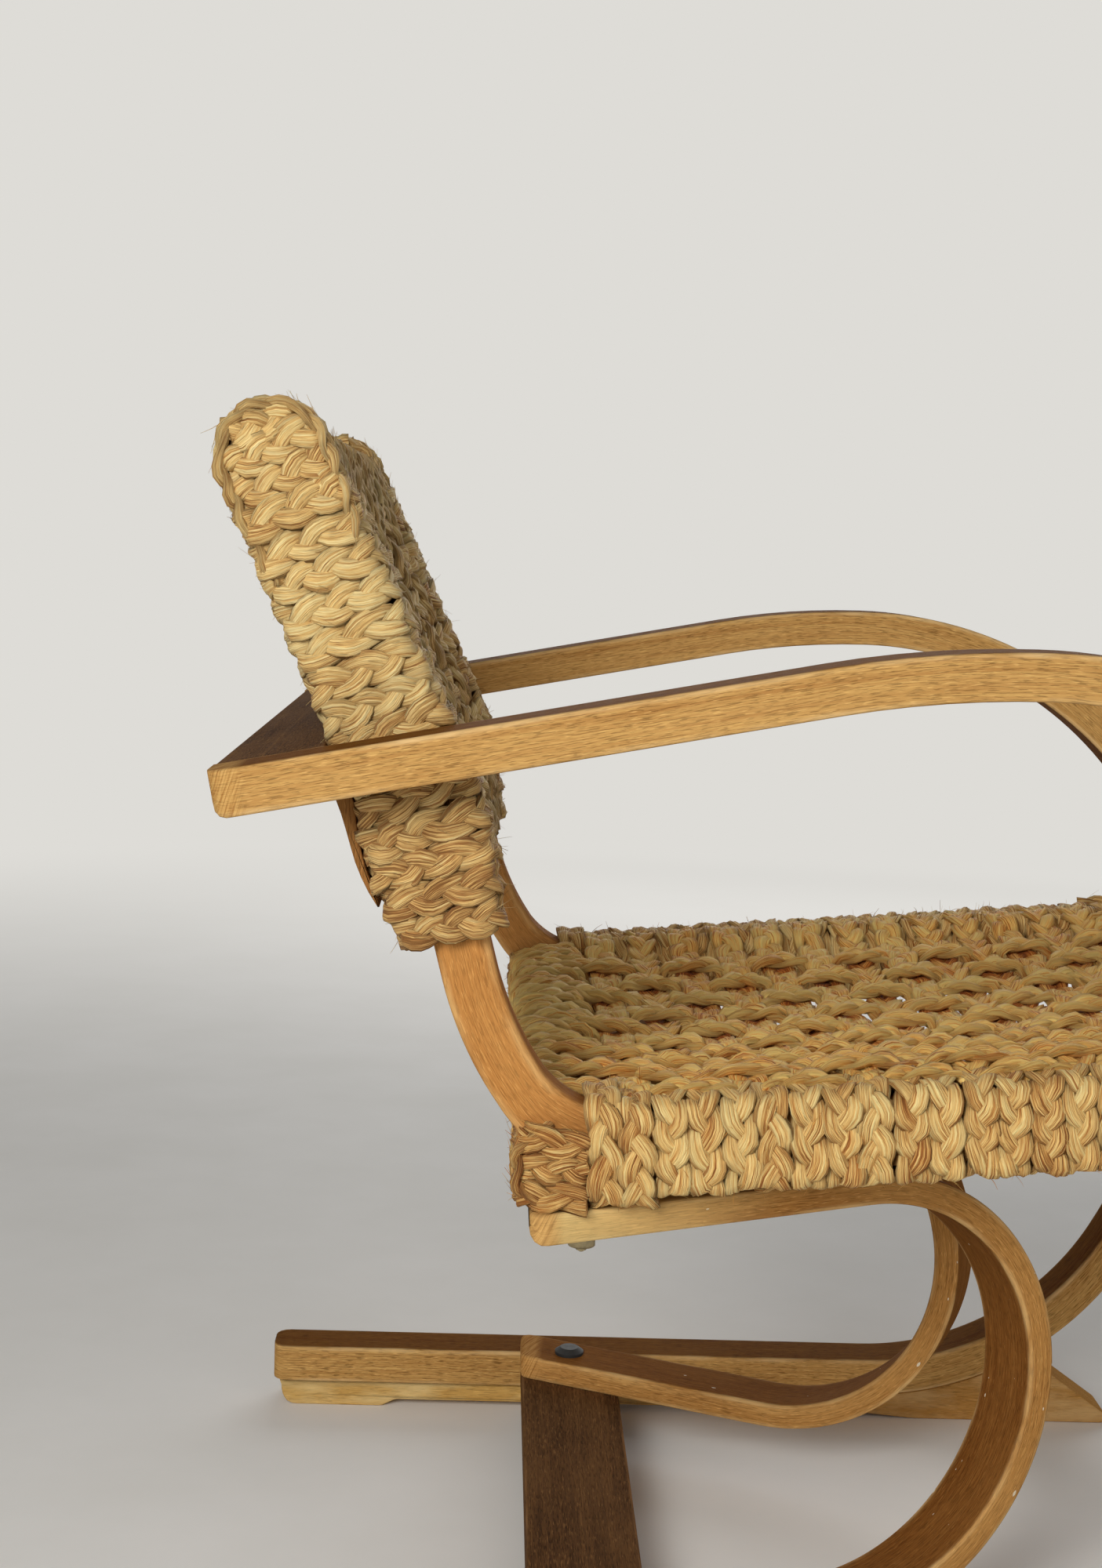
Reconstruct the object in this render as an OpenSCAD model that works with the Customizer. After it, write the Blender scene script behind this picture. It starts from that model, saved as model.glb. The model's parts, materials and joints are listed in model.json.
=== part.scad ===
// Cantilever armchair of bent laminated ash with a rope-wound seat and back.
// X points to the front, Y to the sitter's left, Z up. The chair stands on z = 0.
// Every bent strip follows a route of straight lines and arcs, drawn in the side view.

/* [Side loops] */
// Width over both side loops
chair_w = 610; // [580:5:660]
// Width of a loop's strip
loop_w = 40; // [34:1:44]
// Thickness of the strip at the arm
arm_t = 25; // [21:1:29]
// Thickness of the strip at the runner on the floor
runner_t = 28; // [24:1:32]
// Straight length of the runner before it rises
runner_len = 472; // [460:2:500]
// Radius of the bend that leaves the floor
foot_r = 209; // [200:1:218]
// Turn of that bend
foot_turn = 60; // [58:1:62]
// Radius of the flatter stretch at the front
front_r = 400; // [385:5:415]
// Radius of the bend up into the arm
top_r = 265; // [260:1:272]
// Radius of the arm's gentle crown
arm_r = 544; // [520:4:580]
// Slope of the arm down to the rear
arm_fall = 11.3; // [10.6:0.1:12]
// Rounding of the strips' ends
end_round = 11; // [6:1:14]

/* [Skids] */
// Thickness of the skid under the runner
skid_t = 19; // [15:1:22]
// Inset of the skid's rear end
skid_inset = 6; // [2:1:12]
// Length of the rear pad that touches the floor
rear_pad = 81; // [60:3:96]
// Height of the relief between the two pads
relief = 5.5; // [2:0.5:7]
// Where the front pad starts, in front of the runner's rear end
front_pad = 512; // [490:2:520]
// How far the toe reaches past the end of the straight runner
toe_reach = 190; // [180:2:200]
// Height of the rounded toe
toe_h = 9; // [6:1:12]
// Diameter of the skid screws
screw_d = 4; // [3:0.5:5]

/* [Cross planks] */
// Width of the plank between the runners
floor_plank_w = 73; // [64:1:84]
// Thickness of the plank between the runners
floor_plank_t = 24; // [20:1:26]
// Where its rear edge stands in front of the runners' rear end
floor_plank_at = 196; // [186:2:206]
// Width of the plank between the arms
rear_plank_w = 58; // [50:1:62]
// Thickness of the plank between the arms
rear_plank_t = 24; // [18:1:25]
// Clearance between that plank and the rope in front of it
plank_room = 0.2; // [0.2:0.1:2]
// Diameter of the dowels in the planks
plank_dowel_d = 10; // [8:1:12]
// Length of those dowels
plank_dowel_len = 50; // [40:2:52]

/* [Springs] */
// Width of the spring strip
spring_w = 46; // [40:1:50]
// Thickness of the spring strip
spring_t = 17.5; // [15:0.5:19]
// Height of the C from outside to outside
spring_h = 281.5; // [278:0.5:284]
// Length from the rear end to the front of the C
spring_len = 343; // [325:3:355]
// Angle by which each spring turns in towards the front
toe_in = 25; // [23:0.5:27]
// How far the upper end reaches back past the lower one
spring_back = 9; // [4:1:12]
// Clearance between a spring and the runner
spring_gap = 1; // [0.6:0.2:3]

/* [Seat and back frame] */
// Gap between a loop and the frame beside it
frame_room = 15; // [14:0.5:17]
// From the spring's lower end forward to the bend behind the seat
bend_at = 51; // [48:1:54]
// Wood of the heel block left under the bend
heel_lift = 5; // [4:0.5:6]
// Height of the seat's rear rail
rear_h = 33; // [31:0.5:34]
// Depth of the back's cross rails
back_rail_d = 26; // [24:1:28]
// Length over which the upright deepens inside the winding
taper_len = 72; // [66:2:78]
// Width of the side laminates
side_w = 28; // [24:1:32]
// Depth of the seat rail in the side view
rail_depth = 36; // [30:1:38]
// Depth of the bare stretch between seat and back
bare_depth = 30; // [26:1:34]
// Depth of the upright inside the winding
back_depth = 46; // [40:1:50]
// Length of the straight seat rail
rail_len = 409; // [400:3:430]
// Rise of the seat to the front
seat_tilt = 5.1; // [4.6:0.1:5.6]
// Radius and turn of the tight bend behind the seat
seat_bend_r = 74; // [70:1:78]
// Turn of the tight bend behind the seat
seat_bend = 59.4; // [58:0.2:61]
// Radius of the wider bend above it
low_back_r = 194; // [185:3:205]
// Turn of the wider bend
low_back = 20.8; // [19.8:0.2:21.8]
// Straight stretch behind the sitter's waist
waist_len = 41; // [30:2:52]
// Where the rope starts on the upright, above that stretch's lower end
waist_start = 20; // [10:2:30]
// Radius of the upright's backward curve
upper_back_r = 400; // [370:10:430]
// Turn of the backward curve
upper_back = 9.7; // [9:0.1:10.4]
// Straight top stretch
top_len = 184; // [170:2:200]
// Thickness of the cross rails
cross_t = 30; // [26:1:34]
// Diameter of the dowels in the cross rails
rail_dowel_d = 8; // [6:1:10]
// Length of those dowels
rail_dowel_len = 44; // [36:2:50]
// Thickness of the cleat behind the upright
cleat_t = 7; // [5:0.5:8]
// Height of the cleat
cleat_h = 78; // [60:2:90]

/* [Rope] */
// Diameter of the rope
rope_d = 11; // [9:0.5:11.5]
// Gap between the rope and the wood under it
rope_gap = 0.3; // [0.2:0.1:0.5]
// Distance from one turn to the next
rope_pitch = 18.5; // [17:0.5:19]
// Turns on each upright
back_turns = 12; // [8:1:12]
// Thickness of the woven panels
weave_t = 23; // [18:1:26]
// Sag of the woven seat at its middle
seat_sag = 22; // [16:1:26]
// Sag of the woven back at its middle
back_sag = 16; // [10:1:18]

/* [Bolts] */
// Diameter of the bolts at the springs' feet
foot_bolt_d = 8; // [6:1:10]
// Diameter of the bolts that hold the seat
seat_bolt_d = 6; // [5:1:8]
// Distance of both bolts from the spring's lower end
bolt_in = 37; // [30:1:42]
// How far the seat bolt stands behind the foot bolt
bolt_back = 16; // [12:1:18]
// Clearance round a bolt
bolt_gap = 0.3; // [0.2:0.1:0.5]

/* [Hidden] */
$fn = 48;

ash = "#c89a5c";
pale_ash = "#d9bb78";
dark_wood = "#5f4030";
straw = "#cfae72";
golden_straw = "#c29a5a";
dark_steel = "#33302e";
dull_steel = "#8d8777";

// Angle of one step along an arc
arc_step = 4;
// A cut reaches this far past the solid that it opens
over = 1;

// A route is a list of [x, z, heading, length so far].
// A leg [length, 0] is straight and a leg [radius, turn] is an arc, where a left turn is positive.
function leg_steps(leg) = leg[1] == 0 ? 1 : ceil(abs(leg[1]) / arc_step);
function leg_len(leg) = leg[1] == 0 ? leg[0] : leg[0] * abs(leg[1]) * PI / 180;
function leg_point(leg, p, f) =
    leg[1] == 0
    ? [p[0] + f * leg[0] * cos(p[2]), p[1] + f * leg[0] * sin(p[2]), p[2], p[3] + f * leg[0]]
    : let (way = sign(leg[1]), h = p[2] + f * leg[1])
      [p[0] + way * leg[0] * (sin(h) - sin(p[2])),
       p[1] - way * leg[0] * (cos(h) - cos(p[2])), h, p[3] + f * leg_len(leg)];
function route(legs, p, i = 0) =
    i == len(legs) ? [p]
    : concat([for (k = [0 : leg_steps(legs[i]) - 1]) leg_point(legs[i], p, k / leg_steps(legs[i]))],
             route(legs, leg_point(legs[i], p, 1), i + 1));
// The point at a length along a route, and the point beside it; a positive side is to the left.
function at(way, s) = [for (k = [0 : 2]) lookup(s, [for (p = way) [p[3], p[k]]])];
function beside(p, d) = [p[0] - d * sin(p[2]), p[1] + d * cos(p[2])];
function last(v) = v[len(v) - 1];
function reversed(v) = [for (i = [len(v) - 1 : -1 : 0]) v[i]];
// The outline of a strip whose left and right sides lie at given distances from a route.
function strip(way, left, right) =
    concat([for (i = [0 : len(way) - 1]) beside(way[i], left[i])],
           reversed([for (i = [0 : len(way) - 1]) beside(way[i], -right[i])]));
function same(way, d) = [for (p = way) d];
// The stretch of a route between two lengths, with both end points.
function stretch(way, s0, s1) =
    concat([concat(at(way, s0), [s0])], [for (p = way) if (p[3] > s0 + 0.5 && p[3] < s1 - 0.5) p],
           [concat(at(way, s1), [s1])]);
// An outline whose corners, each a [x, z, reach], are softened over that reach.
function soft(pts) =
    [for (i = [0 : len(pts) - 1])
        let (v = pts[i], n = len(pts), a = pts[(i + n - 1) % n], b = pts[(i + 1) % n],
             c = [v[0], v[1]], ca = [a[0], a[1]] - c, cb = [b[0], b[1]] - c,
             ra = min(v[2], norm(ca) * 0.48), rb = min(v[2], norm(cb) * 0.48),
             pa = c + ca * ra / norm(ca), pb = c + cb * rb / norm(cb))
        for (t = ra < 0.3 ? [0.5] : [0 : 0.25 : 1])
            ra < 0.3 ? c : pa * (1 - t) * (1 - t) + c * 2 * t * (1 - t) + pb * t * t];

// Side loops: the route is the inner face of the strip, from the runner's rear end to the arm's.
loop_in = chair_w / 2 - loop_w;
loop_out = chair_w / 2;
runner_top = skid_t + runner_t;
runner_rear = (runner_len + foot_r * sin(foot_turn) + front_r * (1 - sin(foot_turn))
               + (runner_t + arm_t) / 2) / 2;
loop_rear = -runner_rear;
rise_x = loop_rear + runner_len;
loop_legs = [[runner_len, 0], [foot_r, foot_turn], [front_r, 90 - foot_turn], [top_r, 90],
             [arm_r, arm_fall]];
loop_start = [loop_rear, runner_top, 0, 0];
arm_start = last(route(loop_legs, loop_start));

// Planks: the rear plank lies in the slope of the arms, with its top flush with theirs.
floor_plank_x = loop_rear + floor_plank_at;
plank_gap = 0.15;

// Springs: each lies in an upright plane that turns in towards the front.
spring_x = floor_plank_x - 1;
spring_y = loop_in - spring_gap - spring_w / 2 / cos(toe_in);
spring_low = runner_top;
spring_top = spring_low + spring_h;
spring_r = (spring_h - spring_t) / 2;
spring_run = spring_len - spring_r - spring_t / 2;
spring_way = route([[spring_w + spring_run, 0], [spring_r, 180], [spring_w + spring_run, 0]],
                   [-spring_w, spring_low + spring_t / 2, 0, 0]);
foot_bolt_x = spring_x + bolt_in;
seat_bolt_x = foot_bolt_x - bolt_back;
function spring_mid_y(x) = spring_y - (x - spring_x) * tan(toe_in);

// Side laminates: the route is the middle of the strip, from the front of the seat to the top.
side_out = chair_w / 2 - loop_w - frame_room;
side_in = side_out - side_w;
wound = rope_d + rope_gap;
heel_z = spring_top + wound + 0.2;
bend_x = spring_x + bend_at;
bend_z = heel_z + rail_depth / 2 + heel_lift;
side_way = route([[rail_len, 0], [seat_bend_r, -seat_bend], [low_back_r, -low_back], [waist_len, 0],
                  [upper_back_r, upper_back], [top_len, 0]],
                 [bend_x + rail_len * cos(seat_tilt), bend_z + rail_len * sin(seat_tilt),
                  180 + seat_tilt, 0]);
side_len = last(side_way)[3];
s_bend = rail_len;
s_bare = s_bend + leg_len([seat_bend_r, seat_bend]);
s_waist = s_bare + leg_len([low_back_r, low_back]);
s_wrap = s_waist + waist_start;
s_full = s_wrap + taper_len;
function depth_at(s) =
    lookup(s, [[0, rail_depth], [s_bend, rail_depth + 2], [s_bare, bare_depth],
               [s_wrap, bare_depth], [s_full, back_depth], [side_len, back_depth - 3]]);
side_half = [for (p = side_way) depth_at(p[3]) / 2];
heel_x = spring_x - spring_back + 1;

// The arms run back until the plank between their ends just clears the rope behind the uprights.
// Each point of that rope's face is read from the arm's start, as [up, back] in the arm's slope.
function from_arm(q) =
    let (d = [q[0] - arm_start[0], q[1] - arm_start[1]], h = arm_start[2])
    [d * [sin(h), -cos(h)], d * [cos(h), sin(h)]];
rope_behind = [for (p = side_way) if (p[3] > s_bare) from_arm(beside(p, depth_at(p[3]) / 2 + wound))];
arm_len = lookup(arm_t, rope_behind) + plank_room + rear_plank_w;
loop_way = route(concat(loop_legs, [[arm_len, 0]]), loop_start);
loop_thick = [for (p = loop_way) runner_t + (arm_t - runner_t) * min(1, p[2] / 180)];
arm_end = last(loop_way);

// Cross rails: each is set by its middle's length along the side laminates.
front_s = cross_t / 2;
rear_x = heel_x + cross_t / 2;
rear_z = heel_z + rear_h / 2;
low_s = s_wrap + wound + back_rail_d / 2;
top_s = side_len - back_rail_d / 2 + 1;

// Rope: turns are placed by the length along the side laminates.
corner_front = seat_bolt_x - seat_bolt_d / 2 - 0.6;
first_loop_x = seat_bolt_x + seat_bolt_d / 2 + 0.7 + rope_d / 2;
last_loop_s = s_bend + (bend_x - first_loop_x) / cos(seat_tilt);
seat_turns = 1 + floor((last_loop_s - cross_t - wound) / rope_pitch);
first_loop_s = last_loop_s - (seat_turns - 1) * rope_pitch;
low_wrap_end = low_s + back_rail_d / 2 + 0.5;
back_loop_s = low_wrap_end + 1.4 + rope_d / 2;
top_wrap_start = top_s - back_rail_d / 2 - 0.5;
back_pitch = (top_wrap_start - 1.4 - rope_d / 2 - back_loop_s) / (back_turns - 1);
weave_half = side_in - wound - rope_gap;
side_reach = rail_depth / 2 + wound;

// A solid whose outline is drawn in the side view, from y0 to y1.
module slab(outline, y0, y1) {
    translate([0, y1, 0])
        rotate([90, 0, 0])
            linear_extrude(height = y1 - y0)
                polygon(outline);
}

module both_sides() {
    children();
    mirror([0, 1, 0])
        children();
}

// Puts its children at a point of a route, with x along the route and z to its left.
module on_route(p) {
    translate([p[0], 0, p[1]])
        rotate([0, -p[2], 0])
            children();
}

// Takes the edge off an upright corner; the ways are +1 or -1, towards the solid.
module edge_cut(x, y, way_x, way_y, r, z0, z1) {
    corner = concat([[-over, -over], [r, -over]],
                    [for (a = [270 : -15 : 180]) [r + r * cos(a), r + r * sin(a)]], [[-over, r]]);
    translate([x, y, z0])
        linear_extrude(height = z1 - z0)
            polygon([for (c = corner) [way_x * c[0], way_y * c[1]]]);
}

// A dowel or bore along y, at a place in the side view.
module pin_y(x, z, y0, y1, d) {
    translate([x, y1, z])
        rotate([90, 0, 0])
            cylinder(d = d, h = y1 - y0);
}

// Places of the dowels: in the arms' slope for the rear plank, level for the floor plank.
function rear_dowel(k) =
    beside(at(loop_way, arm_end[3] - rear_plank_w * (k == 0 ? 0.27 : 0.73)), -arm_t + rear_plank_t / 2);
function floor_dowel(k) =
    [floor_plank_x + floor_plank_w * (k == 0 ? 0.22 : 0.78), runner_top - floor_plank_t / 2 - 3];
skid_screw_x = [loop_rear + runner_len * 0.085, floor_plank_x + floor_plank_w / 2,
                loop_rear + runner_len * 0.932];
screw_len = 32;
screw_head = screw_d * 2.1;
function skid_low(x) = x < loop_rear + skid_inset + rear_pad ? 0 : relief;

module skid_screw(x, spare) {
    translate([x, chair_w / 2 - loop_w / 2, skid_low(x) + 1 - spare]) {
        cylinder(d1 = screw_head + 2 * spare, d2 = screw_d + 2 * spare, h = screw_d / 2 + 0.6 + spare);
        cylinder(d = screw_d + 2 * spare, h = screw_len + 2 * spare);
        if (spare > 0)
            translate([0, 0, -5])
                cylinder(d = screw_head + 2 * spare, h = 5.01);
    }
}

// The outline of a loop, with the arm's lower rear edge softened.
loop_outline = soft([for (i = [0 : 2 * len(loop_way) - 1])
                        concat(strip(loop_way, same(loop_way, 0), loop_thick)[i],
                               [i == len(loop_way) - 1 ? end_round * 0.6 : 0])]);

module loop() {
    difference() {
        slab(loop_outline, loop_in, loop_out);
        // Round upright edges at both rear ends; the arm's inner edge meets the plank.
        edge_cut(loop_rear, loop_in, 1, 1, end_round, skid_t - over, runner_top + over);
        edge_cut(loop_rear, loop_out, 1, -1, end_round, skid_t - over, runner_top + over);
        translate([arm_end[0], 0, arm_end[1]])
            rotate([0, 180 - arm_end[2], 0])
                edge_cut(0, loop_out, 1, -1, end_round, -over, arm_t + over);
        for (k = [0, 1]) {
            pin_y(rear_dowel(k)[0], rear_dowel(k)[1], loop_in - over, loop_in + plank_dowel_len / 2 + plank_gap,
                  plank_dowel_d + 2 * plank_gap);
            pin_y(floor_dowel(k)[0], floor_dowel(k)[1], loop_in - over,
                  loop_in + plank_dowel_len / 2 + plank_gap, plank_dowel_d + 2 * plank_gap);
        }
        for (x = skid_screw_x)
            skid_screw(x, plank_gap);
    }
}

module left_loop() {
    color(ash)
        loop();
}

module right_loop() {
    color(ash)
        mirror([0, 1, 0])
            loop();
}

// The skid fills the space under the rising loop and ends in a low toe.
toe_x = rise_x + toe_reach;
wedge_turn = 33;
module skid() {
    rear = loop_rear + skid_inset;
    corner = 13;
    outline = concat(
        [[rear - 2, skid_t]],
        [for (a = [180 : 15 : 270]) [rear + corner + corner * cos(a), corner + corner * sin(a)]],
        [[rear + rear_pad, 0], [rear + rear_pad + 12, relief],
         [loop_rear + front_pad - 60, relief], [loop_rear + front_pad, 0]],
        [for (a = [-90 : 22.5 : 60]) [toe_x + toe_h / 2 * (cos(a) - 1), toe_h / 2 * (1 + sin(a))]],
        reversed([for (i = [1 : len(loop_way) - 1]) if (loop_way[i][2] < wedge_turn)
            beside(loop_way[i], -loop_thick[i])]));
    difference() {
        slab(outline, loop_in, loop_out);
        edge_cut(rear - 2, loop_in, 1, 1, end_round, -over, skid_t + over);
        edge_cut(rear - 2, loop_out, 1, -1, end_round, -over, skid_t + over);
        for (x = skid_screw_x)
            skid_screw(x, plank_gap);
    }
}

module left_skid() {
    color(pale_ash)
        skid();
}

module right_skid() {
    color(pale_ash)
        mirror([0, 1, 0])
            skid();
}

module skid_screws() {
    color(dull_steel)
        both_sides()
            for (x = skid_screw_x)
                skid_screw(x, 0);
}

module rear_plank() {
    color(dark_wood)
        difference() {
            translate([arm_end[0], -loop_in, arm_end[1]])
                rotate([0, 180 - arm_end[2], 0])
                    translate([0, 0, arm_t - rear_plank_t])
                        cube([rear_plank_w, 2 * loop_in, rear_plank_t]);
            for (side = [-1, 1], k = [0, 1])
                pin_y(rear_dowel(k)[0], rear_dowel(k)[1], side * loop_in - plank_dowel_len / 2 - plank_gap,
                      side * loop_in + plank_dowel_len / 2 + plank_gap, plank_dowel_d + 2 * plank_gap);
            both_sides()
                cleat_screw(plank_gap);
        }
}

module rear_plank_dowels() {
    color(pale_ash)
        for (side = [-1, 1], k = [0, 1])
            pin_y(rear_dowel(k)[0], rear_dowel(k)[1], side * loop_in - plank_dowel_len / 2,
                  side * loop_in + plank_dowel_len / 2, plank_dowel_d);
}

module floor_plank() {
    color(dark_wood)
        difference() {
            translate([floor_plank_x, -loop_in, runner_top - floor_plank_t])
                cube([floor_plank_w, 2 * loop_in, floor_plank_t]);
            for (side = [-1, 1], k = [0, 1])
                pin_y(floor_dowel(k)[0], floor_dowel(k)[1], side * loop_in - plank_dowel_len / 2 - plank_gap,
                      side * loop_in + plank_dowel_len / 2 + plank_gap, plank_dowel_d + 2 * plank_gap);
            both_sides()
                translate([foot_bolt_x, spring_mid_y(foot_bolt_x), runner_top - floor_plank_t - over])
                    cylinder(d = foot_bolt_d + 2 * bolt_gap, h = floor_plank_t + 2 * over);
        }
}

module floor_plank_dowels() {
    color(pale_ash)
        for (side = [-1, 1], k = [0, 1])
            pin_y(floor_dowel(k)[0], floor_dowel(k)[1], side * loop_in - plank_dowel_len / 2,
                  side * loop_in + plank_dowel_len / 2, plank_dowel_d);
}

// The spring's outline from above, in its own plane's frame, with its rear end cut across the chair.
function spring_plan(back) =
    soft([[-back / cos(toe_in) - spring_w / 2 * tan(toe_in), spring_w / 2, end_round],
          [-back / cos(toe_in) + spring_w / 2 * tan(toe_in), -spring_w / 2, end_round / 2],
          [spring_len + over, -spring_w / 2, 0], [spring_len + over, spring_w / 2, 0]]);

module spring() {
    half = spring_h / 2;
    difference() {
        translate([spring_x, spring_y, 0])
            rotate([0, 0, -toe_in])
                intersection() {
                    slab(strip(spring_way, same(spring_way, spring_t / 2), same(spring_way, spring_t / 2)),
                         -spring_w / 2 - over, spring_w / 2 + over);
                    union() {
                        translate([0, 0, spring_low - over])
                            linear_extrude(height = half + over)
                                polygon(spring_plan(0));
                        translate([0, 0, spring_low + half])
                            linear_extrude(height = half + over)
                                polygon(spring_plan(spring_back));
                    }
                }
        translate([foot_bolt_x, spring_mid_y(foot_bolt_x), spring_low - over])
            cylinder(d = foot_bolt_d + 2 * bolt_gap, h = spring_t + 2 * over);
        translate([seat_bolt_x, spring_mid_y(seat_bolt_x), spring_top - spring_t - over])
            cylinder(d = seat_bolt_d + 2 * bolt_gap, h = spring_t + 2 * over);
    }
}

module left_spring() {
    color(ash)
        spring();
}

module right_spring() {
    color(ash)
        mirror([0, 1, 0])
            spring();
}

// Dowels of the cross rails: two at each end, side by side along the rail's depth.
function seat_rail_dowel(k) =
    k < 2 ? beside(at(side_way, front_s), (k == 0 ? -1 : 1) * rail_depth * 0.24)
    : [rear_x + (k == 2 ? -1 : 1) * cross_t * 0.22, rear_z + 6];
function back_rail_dowel(k) =
    let (s = k < 2 ? low_s : top_s)
    [for (i = [0, 1]) at(side_way, s + (k % 2 == 0 ? -1 : 1) * back_rail_d * 0.22)[i]];

module rail_dowels(spots, spare) {
    for (p = spots)
        pin_y(p[0], p[1], side_in - rail_dowel_len / 2 - spare, side_in + rail_dowel_len / 2 + spare,
              rail_dowel_d + 2 * spare);
}

seat_spots = [for (k = [0 : 3]) seat_rail_dowel(k)];
back_spots = [for (k = [0 : 3]) back_rail_dowel(k)];
seat_head_z = bend_z + rail_depth / 2 + 1;
seat_head_d = seat_bolt_d * 2;
seat_tip_z = spring_top - spring_t - 14;

// Room for the seat bolt.
module seat_bore() {
    translate([seat_bolt_x, spring_mid_y(seat_bolt_x), seat_tip_z])
        cylinder(d = seat_bolt_d + 2 * bolt_gap, h = seat_head_z - seat_tip_z);
}

module side_laminate() {
    top = last(side_way);
    r = depth_at(side_len) / 2;
    difference() {
        union() {
            slab(strip(side_way, side_half, side_half), side_in, side_out);
            pin_y(top[0], top[1], side_in, side_out, 2 * r);
        }
        rail_dowels(seat_spots, plank_gap);
        rail_dowels(back_spots, plank_gap);
        seat_bore();
        // The bolt's head is let into the rail, level.
        translate([seat_bolt_x, spring_mid_y(seat_bolt_x), seat_head_z - 4])
            cylinder(d = seat_head_d + 2 * bolt_gap, h = 40);
    }
}

module left_side_laminate() {
    color(ash)
        side_laminate();
}

module right_side_laminate() {
    color(ash)
        mirror([0, 1, 0])
            side_laminate();
}

// The heel block fills the crook under the bend, where the spring's bolt pulls.
heel_under = [for (p = stretch(side_way, s_bend - 2, s_waist)) beside(p, depth_at(p[3]) / 2)];
heel_top = lookup(-heel_x, [for (p = heel_under) [-p[0], p[1]]]);
function heel_outline(spare) =
    concat([[heel_x - spare, heel_z - spare], [heel_under[0][0] + spare, heel_z - spare],
            heel_under[0] + [spare, 0]],
           [for (p = heel_under) if (p[0] > heel_x + 1) p],
           [[heel_x, heel_top], [heel_x - spare, heel_top]]);
module heel_blocks() {
    color(ash)
        both_sides()
            difference() {
                slab(heel_outline(0), side_in, side_out);
                seat_bore();
                rail_dowels(seat_spots, plank_gap);
            }
}

// A point in the seat's slope: s back from the front end, v up from the middle of the rail.
function seat_point(s, v) =
    [side_way[0][0] - s * cos(seat_tilt) - v * sin(seat_tilt),
     side_way[0][1] - s * sin(seat_tilt) + v * cos(seat_tilt)];

module seat_front_rail() {
    color(pale_ash)
        difference() {
            slab([seat_point(0, rail_depth / 2), seat_point(cross_t, rail_depth / 2),
                  seat_point(cross_t, -rail_depth / 2), seat_point(0, -rail_depth / 2)], -side_in, side_in);
            both_sides()
                rail_dowels(seat_spots, plank_gap);
        }
}

module seat_rear_rail() {
    color(pale_ash)
        difference() {
            slab([[rear_x - cross_t / 2, rear_z - rear_h / 2], [rear_x + cross_t / 2, rear_z - rear_h / 2],
                  [rear_x + cross_t / 2, rear_z + rear_h / 2], [rear_x - cross_t / 2, rear_z + rear_h / 2]],
                 -side_in, side_in);
            both_sides()
                rail_dowels(seat_spots, plank_gap);
        }
}

module seat_dowels() {
    color(pale_ash)
        both_sides()
            rail_dowels(seat_spots, 0);
}

module back_rail(s) {
    p = at(side_way, s);
    difference() {
        on_route(p)
            translate([-back_rail_d / 2, -side_in, -cross_t / 2])
                cube([back_rail_d, 2 * side_in, cross_t]);
        both_sides()
            rail_dowels(back_spots, plank_gap);
    }
}

module back_top_rail() {
    color(pale_ash)
        back_rail(top_s);
}

module back_bottom_rail() {
    color(pale_ash)
        back_rail(low_s);
}

module back_dowels() {
    color(pale_ash)
        both_sides()
            rail_dowels(back_spots, 0);
}

// The cleat runs from the rear plank's front edge down behind the winding.
cleat_y = side_in + side_w / 2;
cleat_w = 24;
plank_front = leg_point([1, 0], [arm_end[0], arm_end[1], arm_end[2] - 180, 0], rear_plank_w);
plank_low = beside(plank_front, arm_t - rear_plank_t);
cleat_back = [for (p = side_way) if (p[3] > s_waist) [beside(p, depth_at(p[3]) / 2 + wound)[1], p[3]]];
cleat_top_s = lookup(plank_front[1] + arm_t * 0.7, cleat_back);
module back_cleats() {
    rope_face = [for (p = stretch(side_way, cleat_top_s - cleat_h, cleat_top_s))
                    beside(p, depth_at(p[3]) / 2 + wound + rope_gap)];
    foot = rope_face[0];
    color(ash)
        both_sides()
            difference() {
                slab(concat(rope_face, [beside(plank_front, arm_t * 0.7), plank_low,
                                        [plank_low[0] + 3, plank_low[1] - 12],
                                        [foot[0] - cleat_t * 0.6, foot[1] + 2]]),
                     cleat_y - cleat_w / 2, cleat_y + cleat_w / 2);
                cleat_screw(plank_gap);
            }
}

// Each cleat is held by a screw into the plank's front edge, its head sunk clear of the rope.
screw_up = arm_t - rear_plank_t * 0.75;
screw_in = screw_len * 0.69;
cleat_in = arm_len - rear_plank_w - lookup(screw_up, rope_behind) - rope_gap;
module cleat_screw(spare) {
    mid = beside(plank_front, screw_up);
    translate([mid[0], cleat_y, mid[1]])
        rotate([0, -arm_fall, 0])
            translate([-screw_in - spare, 0, 0])
                rotate([0, 90, 0]) {
                    cylinder(d = screw_d + 2 * spare, h = screw_in + cleat_in + 2 * spare);
                    translate([0, 0, screw_in + cleat_in - screw_d * 0.6 + spare])
                        cylinder(d = screw_head + 2 * spare, h = spare > 0 ? 20 : screw_d * 0.6);
                }
}

module cleat_screws() {
    color(dull_steel)
        both_sides()
            cleat_screw(0);
}

// Rope wound round a wooden member. Each turn has eight rings: up the outer side, over,
// down the inner side, where it moves on by one pitch, and back under.
tuck = 3.4;
half_y = side_w / 2 + rope_gap + rope_d / 2;
// The eight spots of a turn as [across, up], between a low and a high side.
function turn_spot(j, lo, hi) =
    [[half_y, lo + tuck], [half_y, hi - tuck], [half_y - tuck, hi], [tuck - half_y, hi],
     [-half_y, hi - tuck], [-half_y, lo + tuck], [tuck - half_y, lo], [half_y - tuck, lo]][j];
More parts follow.
